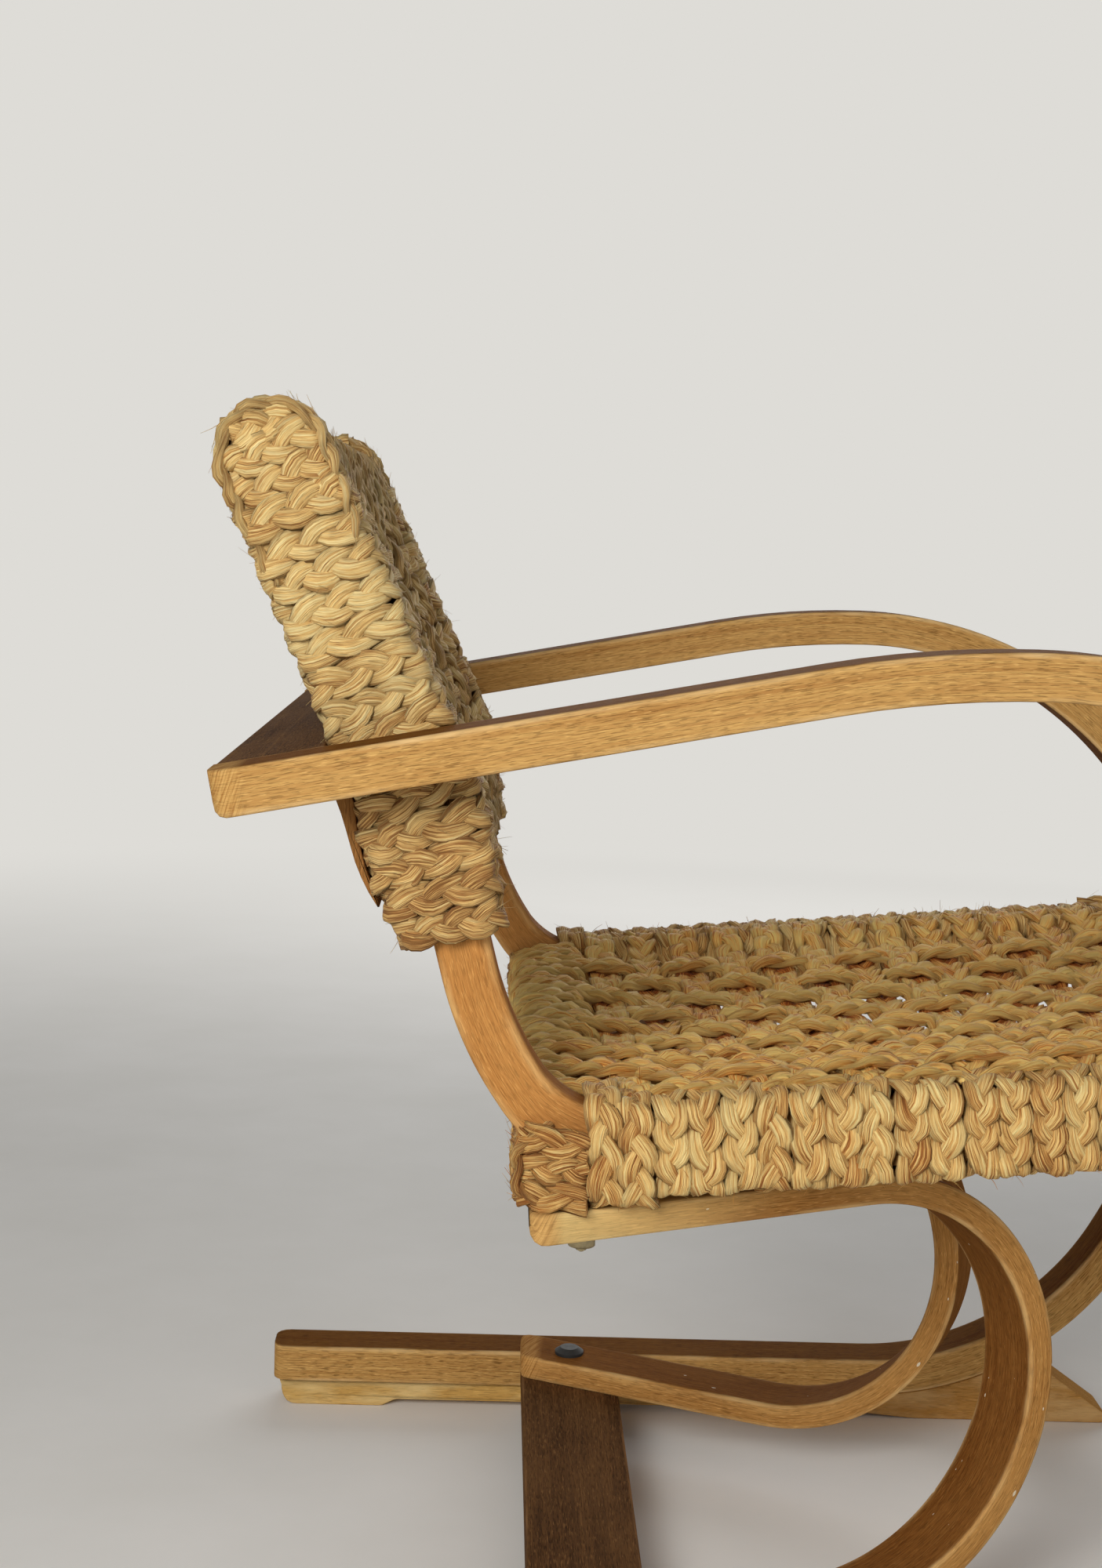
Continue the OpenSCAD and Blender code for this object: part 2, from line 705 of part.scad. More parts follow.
// Near the heel the seat's turns also pass round the block and over the start of the bend.
function seat_turn_hi(s) =
    let (u = max(0, s - s_bend), r = seat_bend_r - depth_at(s_bend) / 2)
    seat_bend_r - sqrt(r * r - u * u) + rope_gap + rope_d / 2;
function seat_turn_lo(s) =
    s < s_bend - 4 ? -rail_depth / 2 - rope_gap - rope_d / 2
    : -(seat_point(s, 0)[1] - heel_z) / cos(seat_tilt) - rope_gap - rope_d / 2;
seat_winding_points =
    [for (k = [0 : seat_turns - 1], j = [0 : k < seat_turns - 1 ? 7 : 4])
        let (s = first_loop_s + rope_pitch * (k + (j > 4 ? 1 : 0)),
             spot = turn_spot(j, seat_turn_lo(s), seat_turn_hi(s)), q = seat_point(s, spot[1]))
        [q[0], side_in + side_w / 2 + spot[0], q[1]]];
back_winding_points =
    [for (k = [0 : back_turns - 1], j = [0 : k < back_turns - 1 ? 7 : 4])
        let (s = back_loop_s + back_pitch * (k + (j > 4 ? 1 : 0)), p = at(side_way, s),
             h = depth_at(s) / 2 + rope_gap + rope_d / 2, spot = turn_spot(j, -h, h), q = beside(p, -spot[1]))
        [q[0], side_in + side_w / 2 + spot[0], q[1]]];

// A tube of six sides along points, with rings square to the bends.
function unit(v) = v / norm(v);
// Ring frames turn with the rope, so each starts from the one before it.
function ring_frames(pts, i = 0, ref = [1, 0, 0]) =
    i == len(pts) ? []
    : let (a = pts[max(i - 1, 0)], b = pts[min(i + 1, len(pts) - 1)], along = unit(b - a),
           side = unit(ref - along * (ref * along)))
      concat([[side, cross(along, side)]], ring_frames(pts, i + 1, side));
module tube(pts, r, sides) {
    frames = ring_frames(pts);
    rings = [for (i = [0 : len(pts) - 1], j = [0 : sides - 1])
                pts[i] + r * (frames[i][0] * cos(j * 360 / sides) + frames[i][1] * sin(j * 360 / sides))];
    n = len(pts) * sides;
    polyhedron(
        points = concat(rings, [pts[0], last(pts)]),
        faces = concat(
            [for (i = [0 : len(pts) - 2], j = [0 : sides - 1])
                [i * sides + j, (i + 1) * sides + j, i * sides + (j + 1) % sides]],
            [for (i = [0 : len(pts) - 2], j = [0 : sides - 1])
                [i * sides + (j + 1) % sides, (i + 1) * sides + j, (i + 1) * sides + (j + 1) % sides]],
            [for (j = [0 : sides - 1]) [n, j, (j + 1) % sides]],
            [for (j = [0 : sides - 1]) [n + 1, n - sides + (j + 1) % sides, n - sides + j]]));
}

// Least gap of a winding to itself, measured between points a turn apart along the rope.
function finer(pts) = [for (i = [0 : len(pts) - 2], f = [0 : 0.25 : 0.99]) pts[i] * (1 - f) + pts[i + 1] * f];
function own_gap(pts) =
    let (fine = finer(pts), lap = 32)
    min([for (i = [0 : len(fine) - 1], k = [lap - 5 : lap + 5]) if (i + k < len(fine))
            norm(fine[i + k] - fine[i])]) - rope_d;

rope_sides = 6;
module winding(pts, name) {
    echo(str("Least gap of the ", name, " winding to itself: ", own_gap(pts), " mm"));
    tube(pts, rope_d / 2, rope_sides);
}

module left_seat_winding() {
    color(golden_straw)
        winding(seat_winding_points, "seat");
}

module right_seat_winding() {
    color(golden_straw)
        mirror([0, 1, 0])
            winding(seat_winding_points, "seat");
}

module left_back_winding() {
    color(straw)
        winding(back_winding_points, "back");
}

module right_back_winding() {
    color(straw)
        mirror([0, 1, 0])
            winding(back_winding_points, "back");
}

// The laminate and heel block with the room that the rope leaves round them.
module side_room() {
    slab(strip(side_way, [for (h = side_half) h + rope_gap], [for (h = side_half) h + rope_gap]),
         side_in - rope_gap, side_out + rope_gap);
    slab(heel_outline(rope_gap), side_in - rope_gap, side_out + rope_gap);
}

module rear_corner_wraps() {
    x0 = heel_x - wound;
    z0 = heel_z - wound;
    round = rope_d * 0.8;
    color(golden_straw)
        both_sides()
            difference() {
                slab(soft([[x0, z0, round], [corner_front, z0, 2], [corner_front, heel_z + 48, 2],
                           [heel_x + 6, heel_z + 34, 5], [x0, heel_z + 31, round]]),
                     side_in - wound + 0.2, side_out + wound);
                side_room();
                slab([[rear_x - cross_t / 2 - rope_gap, heel_z - rope_gap],
                      [rear_x + cross_t, heel_z - rope_gap],
                      [rear_x + cross_t, heel_z + rear_h + rope_gap],
                      [rear_x - cross_t / 2 - rope_gap, heel_z + rear_h + rope_gap]], 0, side_in);
            }
}

front_corner_back = cross_t + 1;
module front_corner_wraps() {
    color(golden_straw)
        both_sides()
            difference() {
                slab(soft([for (c = [[-wound, -side_reach, rope_d], [front_corner_back, -side_reach, 2],
                                     [front_corner_back, side_reach, 2], [-wound, side_reach, rope_d]])
                              concat(seat_point(c[0], c[1]), [c[2]])]),
                     side_in - wound + 0.2, side_out + wound);
                slab([for (c = [[-rope_gap, -1], [cross_t * 2, -1], [cross_t * 2, 1], [-rope_gap, 1]])
                         seat_point(c[0], c[1] * (rail_depth / 2 + rope_gap))], 0, side_out + rope_gap);
            }
}

module back_end_wraps() {
    top = last(side_way);
    low = stretch(side_way, s_wrap, low_wrap_end);
    high = stretch(side_way, top_wrap_start, side_len - 0.1);
    low_half = [for (p = low) depth_at(p[3]) / 2 + wound];
    high_half = [for (p = high) depth_at(p[3]) / 2 + wound];
    color(straw)
        both_sides()
            difference() {
                union() {
                    slab(strip(low, low_half, low_half), side_in - wound + 0.2, side_out + wound);
                    slab(strip(high, high_half, high_half), side_in - wound + 0.2, side_out + wound);
                    pin_y(top[0], top[1], side_in - wound + 0.2, side_out + wound,
                          depth_at(side_len) + 2 * wound);
                }
                side_room();
                pin_y(top[0], top[1], side_in - rope_gap, side_out + rope_gap,
                      depth_at(side_len) + 2 * rope_gap);
                for (s = [low_s, top_s])
                    on_route(at(side_way, s))
                        translate([-back_rail_d / 2 - rope_gap, 0, -cross_t / 2 - rope_gap])
                            cube([back_rail_d + 2 * rope_gap, side_in, cross_t + 2 * rope_gap]);
            }
}

weave_top = side_reach - 1;
// The panels sag between their rails and their sides, by a share of the whole sag.
function share(u, power) = max(0, 1 - pow(abs(u), power));
function seat_dip(s, y) =
    seat_sag * share(y / weave_half, 2)
    * share((s - (first_loop_s + last_loop_s) / 2) / ((last_loop_s - first_loop_s) / 2 + 1.6 * wound), 4);
function back_dip(s, y) =
    back_sag * share(y / weave_half, 2) * share((2 * s - s_wrap - side_len) / (side_len - s_wrap), 4);
weave_rows = [for (f = [-1, -0.8, -0.57, -0.3, 0, 0.3, 0.57, 0.8, 1]) f * weave_half];
weave_steps = [for (k = [1 : 9]) k / 10];

// A skin over outlines drawn in the side view, each at its own place across the chair.
module skin(outlines, places) {
    n = len(outlines[0]);
    m = len(outlines);
    polyhedron(
        points = [for (j = [0 : m - 1], p = outlines[j]) [p[0], places[j], p[1]]],
        faces = concat(
            [[for (i = [n - 1 : -1 : 0]) i]],
            [[for (i = [0 : n - 1]) (m - 1) * n + i]],
            [for (j = [0 : m - 2], i = [0 : n - 1]) [j * n + i, j * n + (i + 1) % n, (j + 1) * n + (i + 1) % n]],
            [for (j = [0 : m - 2], i = [0 : n - 1]) [j * n + i, (j + 1) * n + (i + 1) % n, (j + 1) * n + i]]));
}

// The seat panel's outline at one place across: round the front rail, back over the top, round
// the rear rail and forward again below.
seat_rear_s = s_bend + (bend_x - rear_x - cross_t / 2 - wound) / cos(seat_tilt);
function seat_outline(y) =
    let (top = [for (f = weave_steps) let (s = f * seat_rear_s)
                   concat(seat_point(s, weave_top - seat_dip(s, y)), [0])],
         low = [for (f = weave_steps)
                   let (s = seat_rear_s + f * (cross_t + wound - seat_rear_s))
                   concat(seat_point(s, weave_top - weave_t - seat_dip(s, y)), [0])],
         low_front = weave_top - weave_t - seat_dip(cross_t + wound, y),
         low_rear = weave_top - weave_t - seat_dip(seat_rear_s, y),
         top_rear = weave_top - seat_dip(seat_rear_s + 10, y))
    soft(concat([concat(seat_point(cross_t + wound, low_front), [3]),
                 concat(seat_point(cross_t + wound, -side_reach), [rope_d]),
                 concat(seat_point(-wound, -side_reach), [rope_d * 1.6]),
                 concat(seat_point(-wound, weave_top), [rope_d * 1.6])],
                top,
                [concat(seat_point(seat_rear_s + 10, top_rear), [12]),
                 [heel_x - wound, heel_z + rear_h + wound, rope_d * 1.4],
                 [heel_x - wound, heel_z - wound, rope_d],
                 [rear_x + cross_t / 2 + wound, heel_z - wound, rope_d],
                 concat(seat_point(seat_rear_s, low_rear), [3])],
                low));

module woven_seat() {
    color(golden_straw)
        difference() {
            skin([for (y = weave_rows) seat_outline(y)], weave_rows);
            slab([for (c = [[-rope_gap, -1], [cross_t + rope_gap, -1], [cross_t + rope_gap, 1], [-rope_gap, 1]])
                     seat_point(c[0], c[1] * (rail_depth / 2 + rope_gap))], -side_in, side_in);
            translate([rear_x - cross_t / 2 - rope_gap, -side_in, heel_z - rope_gap])
                cube([cross_t + 2 * rope_gap, 2 * side_in, rear_h + 2 * rope_gap]);
        }
}

// The back panel's outline at one place across: up the front, over the top rail, down the rear
// and round the bottom rail.
back_top_s = top_s + back_rail_d / 2 + wound;
back_low_s = low_s + back_rail_d / 2 + wound;
back_high_s = top_s - back_rail_d / 2 - wound;
function on_back(s) =
    s < side_len ? concat(at(side_way, s), [s]) : leg_point([1, 0], last(side_way), s - side_len);
function back_face(s, y) =
    let (p = on_back(s)) beside(p, back_dip(s, y) - depth_at(min(s, side_len)) / 2 - wound + 1);
function back_rear(s, y) =
    let (p = on_back(s)) beside(p, back_dip(s, y) - depth_at(s) / 2 - wound + 1 + weave_t);
function back_outline(y) =
    let (sleeve = cross_t / 2 + wound)
    soft(concat([concat(back_face(s_wrap, y), [rope_d])],
                [for (f = weave_steps) concat(back_face(s_wrap + f * (back_top_s - s_wrap), y), [0])],
                [concat(back_face(back_top_s, y), [rope_d]),
                 concat(beside(on_back(back_top_s), sleeve), [rope_d * 1.4]),
                 concat(beside(on_back(back_high_s), sleeve), [rope_d]),
                 concat(back_rear(back_high_s, y), [3])],
                [for (f = weave_steps) concat(back_rear(back_high_s + f * (back_low_s - back_high_s), y), [0])],
                [concat(back_rear(back_low_s, y), [3]),
                 concat(beside(on_back(back_low_s), sleeve), [rope_d]),
                 concat(beside(on_back(s_wrap), sleeve), [rope_d])]));

module woven_back() {
    color(straw)
        difference() {
            // The skin's ends stand out a little, and are trimmed flat to the panel's width.
            intersection() {
                skin([for (y = weave_rows) back_outline(y)],
                     [for (y = weave_rows) abs(y) == weave_half ? 1.02 * y : y]);
                translate([loop_rear * 2, -weave_half, 0])
                    cube([-loop_rear * 2, 2 * weave_half, side_len + chair_w]);
            }
            for (s = [low_s, top_s])
                on_route(at(side_way, s))
                    translate([-back_rail_d / 2 - rope_gap, -side_in, -cross_t / 2 - rope_gap])
                        cube([back_rail_d + 2 * rope_gap, 2 * side_in, cross_t + 2 * rope_gap]);
        }
}

// Bolts: black round heads on the springs' feet, nuts below the plank.
foot_head_d = foot_bolt_d * 2.75;
foot_nut_z = runner_top - floor_plank_t;
module bolt_at(x) {
    both_sides()
        translate([x, spring_mid_y(x), 0])
            children();
}

module hex_nut(d) {
    across = d * 1.62;
    difference() {
        linear_extrude(height = d * 0.8)
            polygon([for (a = [0 : 60 : 300]) across / 2 / cos(30) * [cos(a), sin(a)]]);
        translate([0, 0, -over])
            cylinder(d = d + 2 * plank_gap, h = d + 2 * over);
    }
}

module ring(d, t) {
    difference() {
        cylinder(d = d * 2, h = t);
        translate([0, 0, -over])
            cylinder(d = d + 2 * bolt_gap, h = t + 2 * over);
    }
}

module foot_bolts() {
    top = spring_low + spring_t;
    tip = foot_nut_z - foot_bolt_d * 0.8 - 4;
    color(dark_steel)
        bolt_at(foot_bolt_x) {
            translate([0, 0, tip])
                cylinder(d = foot_bolt_d, h = top - tip + 1);
            translate([0, 0, top])
                cylinder(d = foot_head_d, h = 2.2);
            translate([0, 0, top + 2.2])
                cylinder(d1 = foot_head_d, d2 = foot_head_d * 0.62, h = 3);
        }
}

module foot_washers() {
    color(dull_steel)
        bolt_at(foot_bolt_x)
            translate([0, 0, foot_nut_z - 1.6])
                ring(foot_bolt_d, 1.6);
}

module foot_nuts() {
    color(dull_steel)
        bolt_at(foot_bolt_x)
            translate([0, 0, foot_nut_z - 1.6 - foot_bolt_d * 0.8])
                hex_nut(foot_bolt_d);
}

module seat_bolts() {
    color(dull_steel)
        bolt_at(seat_bolt_x) {
            translate([0, 0, seat_tip_z + 2])
                cylinder(d = seat_bolt_d, h = seat_head_z - seat_tip_z - 4);
            translate([0, 0, seat_head_z - 4])
                cylinder(d = seat_head_d, h = 3.6);
        }
}

module seat_washers() {
    color(dull_steel)
        bolt_at(seat_bolt_x)
            translate([0, 0, spring_top - spring_t - 1.6])
                ring(seat_bolt_d * 1.3, 1.6);
}

module seat_nuts() {
    color(dark_steel)
        bolt_at(seat_bolt_x)
            translate([0, 0, spring_top - spring_t - 1.6 - seat_bolt_d * 0.8])
                hex_nut(seat_bolt_d);
}

left_loop();
right_loop();
left_skid();
right_skid();
skid_screws();
rear_plank();
rear_plank_dowels();
floor_plank();
floor_plank_dowels();
left_spring();
right_spring();
left_side_laminate();
right_side_laminate();
heel_blocks();
seat_front_rail();
seat_rear_rail();
seat_dowels();
back_top_rail();
back_bottom_rail();
back_dowels();
back_cleats();
cleat_screws();
left_seat_winding();
right_seat_winding();
left_back_winding();
right_back_winding();
rear_corner_wraps();
front_corner_wraps();
back_end_wraps();
woven_seat();
woven_back();
foot_bolts();
foot_washers();
foot_nuts();
seat_bolts();
seat_washers();
seat_nuts();
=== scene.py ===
"""Cantilever armchair: bent ash loops and springs, plaited rope seat and back.

Lengths are millimetres, turned into metres in the meshes. X is the front, Y the sitter's left, Z up, and the
frame's origin is on the floor. The photographed side is the right one, at -Y.
"""

import json
from math import ceil, cos, pi, radians, sin, sqrt, tan

import bpy
import numpy as np
from mathutils import Matrix, Vector

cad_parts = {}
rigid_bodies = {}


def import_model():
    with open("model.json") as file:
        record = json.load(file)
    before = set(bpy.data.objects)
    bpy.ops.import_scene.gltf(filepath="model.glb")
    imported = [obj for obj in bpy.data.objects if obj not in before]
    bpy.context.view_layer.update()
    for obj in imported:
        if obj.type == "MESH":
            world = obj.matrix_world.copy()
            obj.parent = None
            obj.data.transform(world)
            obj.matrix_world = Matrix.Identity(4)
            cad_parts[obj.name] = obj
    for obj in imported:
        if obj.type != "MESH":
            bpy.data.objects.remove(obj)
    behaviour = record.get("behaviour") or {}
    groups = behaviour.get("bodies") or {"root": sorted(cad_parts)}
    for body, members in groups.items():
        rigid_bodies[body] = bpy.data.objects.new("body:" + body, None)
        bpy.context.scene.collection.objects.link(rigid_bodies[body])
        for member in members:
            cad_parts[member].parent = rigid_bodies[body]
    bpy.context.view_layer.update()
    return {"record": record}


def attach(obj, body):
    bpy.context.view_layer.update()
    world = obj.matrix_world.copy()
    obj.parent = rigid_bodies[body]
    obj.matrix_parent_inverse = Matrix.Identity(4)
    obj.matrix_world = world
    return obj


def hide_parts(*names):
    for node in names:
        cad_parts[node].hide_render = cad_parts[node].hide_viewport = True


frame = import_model()

scene = bpy.context.scene
rng = np.random.default_rng(11)
MM = 0.001
BOTH = ((-1, "right"), (1, "left"))

# Layout, from the same driving sizes as the solids
LOOP_IN, LOOP_OUT = 265.0, 305.0
SKID_T, RUNNER_T, ARM_T = 19.0, 28.0, 25.0
RUNNER_TOP = SKID_T + RUNNER_T
RUNNER_LEN, FOOT_R, FOOT_TURN, FRONT_R = 472.0, 209.0, 60.0, 400.0
CROWN_R, FALL_R, FALL_TURN, ARM_LEN = 265.0, 544.0, 11.3, 323.163
FOOT_SIN = sin(radians(FOOT_TURN))
REAR = -(RUNNER_LEN + FOOT_R * FOOT_SIN + FRONT_R * (1 - FOOT_SIN) + (RUNNER_T + ARM_T) / 2) / 2
SIDE_IN, SIDE_OUT = 222.0, 250.0
ROPE, GAP = 11.0, 0.3
WOUND = ROPE + GAP
ROPE_MID = GAP + ROPE / 2
PLANK_X, PLANK_W, PLANK_T = REAR + 196, 73.0, 24.0
SPRING_X = PLANK_X - 1
SPRING_W, SPRING_T, SPRING_H, SPRING_LEN = 46.0, 17.5, 281.5, 343.0
TOE = radians(25)
SPRING_Y = LOOP_IN - 1 - SPRING_W / 2 / cos(TOE)
SPRING_TOP = RUNNER_TOP + SPRING_H
HEEL_X, HEEL_Z = SPRING_X - 8, SPRING_TOP + WOUND + 0.2
RAIL_D, RAIL_LEN = 36.0, 409.0
CROSS = 30.0
BEND_X, BEND_Z = SPRING_X + 51, HEEL_Z + RAIL_D / 2 + 5
TILT_TURN = 5.1
TILT = radians(TILT_TURN)
BEND_R, BEND_TURN = 74.0, 59.4
RISE_R, RISE_TURN = 194.0, 20.8
WAIST_LEN, WAIST_D = 41.0, 30.0
BACK_R, BACK_TURN, BACK_LEN, BACK_D = 400.0, 9.7, 184.0, 46.0


class Way:
    """A route of legs in the side view: (length, 0) runs straight, (radius, degrees) bends."""

    def __init__(self, legs, start, step=2.0, stride=12.0):
        x, z, h, s = start[0], start[1], start[2], 0.0
        pts = [(x, z, h, s)]
        for size, turn in legs:
            if turn == 0:
                n = max(1, int(round(size / stride)))
                dx, dz = cos(radians(h)), sin(radians(h))
                pts += [(x + f * dx, z + f * dz, h, s + f) for f in (size * i / n for i in range(1, n + 1))]
            else:
                n = max(2, int(ceil(abs(turn) / step)))
                way = 1 if turn > 0 else -1
                for i in range(1, n + 1):
                    g = h + turn * i / n
                    pts.append((x + way * size * (sin(radians(g)) - sin(radians(h))),
                                z - way * size * (cos(radians(g)) - cos(radians(h))),
                                g, s + size * radians(abs(turn)) * i / n))
            x, z, h, s = pts[-1]
        self.p = np.array(pts)
        self.length = s

    def at(self, s):
        """x, z and heading in radians at a length; beyond the ends the route runs on straight."""
        s = np.asarray(s, dtype=float)
        c = np.clip(s, 0, self.length)
        x = np.interp(c, self.p[:, 3], self.p[:, 0])
        z = np.interp(c, self.p[:, 3], self.p[:, 1])
        h = np.radians(np.interp(c, self.p[:, 3], self.p[:, 2]))
        return x + (s - c) * np.cos(h), z + (s - c) * np.sin(h), h


loop_way = Way([(RUNNER_LEN, 0), (FOOT_R, FOOT_TURN), (FRONT_R, 90 - FOOT_TURN), (CROWN_R, 90),
                (FALL_R, FALL_TURN), (ARM_LEN, 0)], (REAR, RUNNER_TOP, 0))
side_way = Way([(RAIL_LEN, 0), (BEND_R, -BEND_TURN), (RISE_R, -RISE_TURN), (WAIST_LEN, 0),
                (BACK_R, BACK_TURN), (BACK_LEN, 0)],
               (BEND_X + RAIL_LEN * cos(TILT), BEND_Z + RAIL_LEN * sin(TILT), 180 + TILT_TURN))
SPRING_R = (SPRING_H - SPRING_T) / 2
SPRING_ARM = SPRING_LEN - SPRING_R - SPRING_T / 2
spring_way = Way([(SPRING_ARM, 0), (SPRING_R, 180), (SPRING_ARM + 9 / cos(TOE), 0)],
                 (0, RUNNER_TOP + SPRING_T / 2, 0))

# Lengths along the side laminate, from the seat's front end to the top of the back
S_BEND = RAIL_LEN
S_BARE = S_BEND + BEND_R * radians(BEND_TURN)
S_WRAP = S_BARE + RISE_R * radians(RISE_TURN) + 20
S_FULL = S_WRAP + 72
S_END = side_way.length
LOW_S = S_WRAP + WOUND + 13
TOP_S = S_END - 12


def depth_at(s):
    """The side laminate's depth in the side view."""
    return np.interp(s, [0, S_BEND, S_BARE, S_WRAP, S_FULL, S_END],
                     [RAIL_D, RAIL_D + 2, WAIST_D, WAIST_D, BACK_D, BACK_D - 3])


# Meshes
def added(name, data):
    """A new object in the scene."""
    ob = bpy.data.objects.new(name, data)
    scene.collection.objects.link(ob)
    return ob


class Build:
    """Collects vertices, faces, texture coordinates and masks for one piece."""

    def __init__(self):
        self.v, self.loops, self.sizes, self.uv, self.mask = [], [], [], [], []
        self.count = 0

    def grid(self, pts, uvs, mask, caps=True):
        """Joins closed rings of points, rings x sides x 3; uvs holds the places along and around."""
        rings, sides = pts.shape[:2]
        start = self.count
        self.v.append(pts.reshape(-1, 3))
        self.mask.append(mask.reshape(-1, 4))
        self.count += rings * sides
        i, j = np.meshgrid(np.arange(rings - 1), np.arange(sides), indexing="ij")
        corners = ((i, j), (i, j + 1), (i + 1, j + 1), (i + 1, j))
        quads = np.stack([a * sides + b % sides for a, b in corners], axis=-1)
        self.loops.append(quads.reshape(-1) + start)
        self.sizes.append(np.full(i.size, 4))
        along, around = uvs
        places = [np.stack([along[a], around[b]], -1) for a, b in corners]
        self.uv.append(np.stack(places, axis=2).reshape(-1, 2))
        if caps:
            first = start + np.arange(sides)[::-1]
            last = start + (rings - 1) * sides + np.arange(sides)
            for ring, row in ((first, 0), (last, rings - 1)):
                self.loops.append(ring)
                self.sizes.append(np.array([sides]))
                p = pts[row] if row else pts[row][::-1]
                self.uv.append(np.stack([along[row] + p[:, 2] - p[0, 2], p[:, 1]], -1))

    def make(self, name, material):
        """Makes the piece's smooth mesh, with its texture coordinates and its mask."""
        v = np.concatenate(self.v)
        loops = np.concatenate(self.loops).astype(np.int32)
        sizes = np.concatenate(self.sizes).astype(np.int32)
        me = bpy.data.meshes.new(name)
        me.vertices.add(len(v))
        me.vertices.foreach_set("co", (v * MM).astype(np.float32).reshape(-1))
        me.loops.add(len(loops))
        me.loops.foreach_set("vertex_index", loops)
        me.polygons.add(len(sizes))
        me.polygons.foreach_set("loop_start", np.concatenate([[0], np.cumsum(sizes)[:-1]]).astype(np.int32))
        me.polygons.foreach_set("use_smooth", np.full(len(sizes), True))
        me.update(calc_edges=True)
        layer = me.uv_layers.new(name="UVMap")
        layer.data.foreach_set("uv", (np.concatenate(self.uv) * MM).astype(np.float32).reshape(-1))
        att = me.color_attributes.new("mask", "FLOAT_COLOR", "POINT")
        att.data.foreach_set("color", np.concatenate(self.mask).astype(np.float32).reshape(-1))
        me.validate()
        me.materials.append(material)
        return added(name, me)


def stand_for(piece, slot, *nodes):
    """Lets a piece ride on the chair's one body and stand for CAD nodes."""
    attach(piece, "root")
    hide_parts(*nodes)


def unit(v):
    return v / np.maximum(np.linalg.norm(v, axis=-1, keepdims=True), 1e-9)


def across(side, inner, outer):
    """The lower and upper y of a piece between two distances from the middle plane."""
    return (inner, outer) if side > 0 else (-outer, -inner)


def inset(t, r):
    """How far a corner of radius r pulls in at a distance t from the end."""
    t = np.clip(t, 0, r)
    return r - np.sqrt(np.maximum(r * r - (r - t) ** 2, 0))


def stations(way, r):
    """Lengths where a strip needs a section: the way's points, and close steps at its rounded ends."""
    steps = r * (1 - np.cos(np.linspace(0, pi / 2, 5)))
    return np.unique(np.round(np.concatenate([steps, way.p[:, 3], way.length - steps]), 3))


def girth(outline):
    """The length round a closed outline at each of its corners."""
    return np.append(0, np.cumsum(np.linalg.norm(np.roll(outline, -1, 0) - outline, axis=1)))


def section(bevel):
    """Corners of a softened rectangle: rows of (side, up, inset across, inset up, wear)."""
    rows = []
    c = 1 - cos(pi / 4)
    flat = 3.2
    for sy, su in ((1, -1), (1, 1), (-1, 1), (-1, -1)):
        run = [(0, flat, 0), (0, 1, 1), (c, c, 1), (1, 0, 1), (flat, 0, 0)]
        if sy != su:
            run = [(b, a, w) for a, b, w in run]
        rows += [(sy, su, a * bevel, b * bevel, w) for a, b, w in run]
    return np.array(rows)


def strip(name, way, s, left, right, y0, y1, material, bevel=1.8, place=None, shear=None):
    """Sweeps a softened rectangle along a route; left and right are the reaches in the side view.
    The mask holds wear, the wide faces that take painted shade, and the place across the strip's thickness."""
    x, z, h = [c[:, None] for c in way.at(s)]
    to_y, to_left, in_y, in_left, wear = section(bevel).T
    left, right, y0, y1 = [np.broadcast_to(a, s.shape)[:, None] for a in (left, right, y0, y1)]
    yy = np.where(to_y > 0, y1 - in_y, y0 + in_y)
    dd = np.where(to_left > 0, left - in_left, in_left - right)
    px = x - dd * np.sin(h)
    if shear is not None:
        px = px + shear[:, None] * yy * np.cos(h)
    pts = np.stack([px, yy, z + dd * np.cos(h)], axis=-1)
    if place is not None:
        pts = place(pts)
    mask = np.ones(pts.shape[:2] + (4,))
    mask[..., 0] = wear
    mask[..., 1] = in_y > in_left
    mask[..., 2] = (dd + right) / (left + right)
    mid = len(s) // 2
    build = Build()
    build.grid(pts, (s, girth(np.stack([yy[mid], dd[mid]], -1))), mask)
    return build.make(name, material)


def prism(build, outline, y0, y1, bevel):
    """Runs a closed side-view outline across the chair and softens its two faces' edges."""
    o = np.array(outline, float)
    t = unit(np.roll(o, -1, 0) - np.roll(o, 1, 0))
    out = np.stack([t[:, 1], -t[:, 0]], -1)
    before, after = unit(o - np.roll(o, 1, 0)), unit(np.roll(o, -1, 0) - o)
    corner = np.clip(3 * (1 - np.sum(before * after, -1)) ** 0.5, 0, 1)
    steps = [(0, 1), (0.3, 0.3), (1, 0), (3, 0)]
    rings = ([(y1 - a * bevel, b * bevel, a < 1) for a, b in steps]
             + [(y0 + a * bevel, b * bevel, a < 1) for a, b in steps[::-1]])
    pts = np.stack([np.stack([o[:, 0] - b * out[:, 0], np.full(len(o), y), o[:, 1] - b * out[:, 1]], -1)
                    for y, b, _ in rings])
    mask = np.zeros((len(rings), len(o), 4))
    for r, (_, _, edge) in enumerate(rings):
        mask[r, :, 0] = 1 if edge else corner
    mask[..., 3] = 1
    build.grid(pts, (np.array([r[0] for r in rings]), girth(o)), mask)


def arc(cx, cz, r, a0, a1, n=8):
    a = np.radians(np.linspace(a0, a1, n))
    return [(cx + r * cos(q), cz + r * sin(q)) for q in a]


def rounded(corners, r, n=4):
    """Rounds every corner of a closed outline."""
    c = [np.array(q, float) for q in corners]
    out = []
    for i, v in enumerate(c):
        a, b = unit(c[i - 1] - v), unit(c[(i + 1) % len(c)] - v)
        out += [v + a * r * (1 - f) ** 2 + b * r * f * f for f in np.linspace(0, 1, n)]
    return out


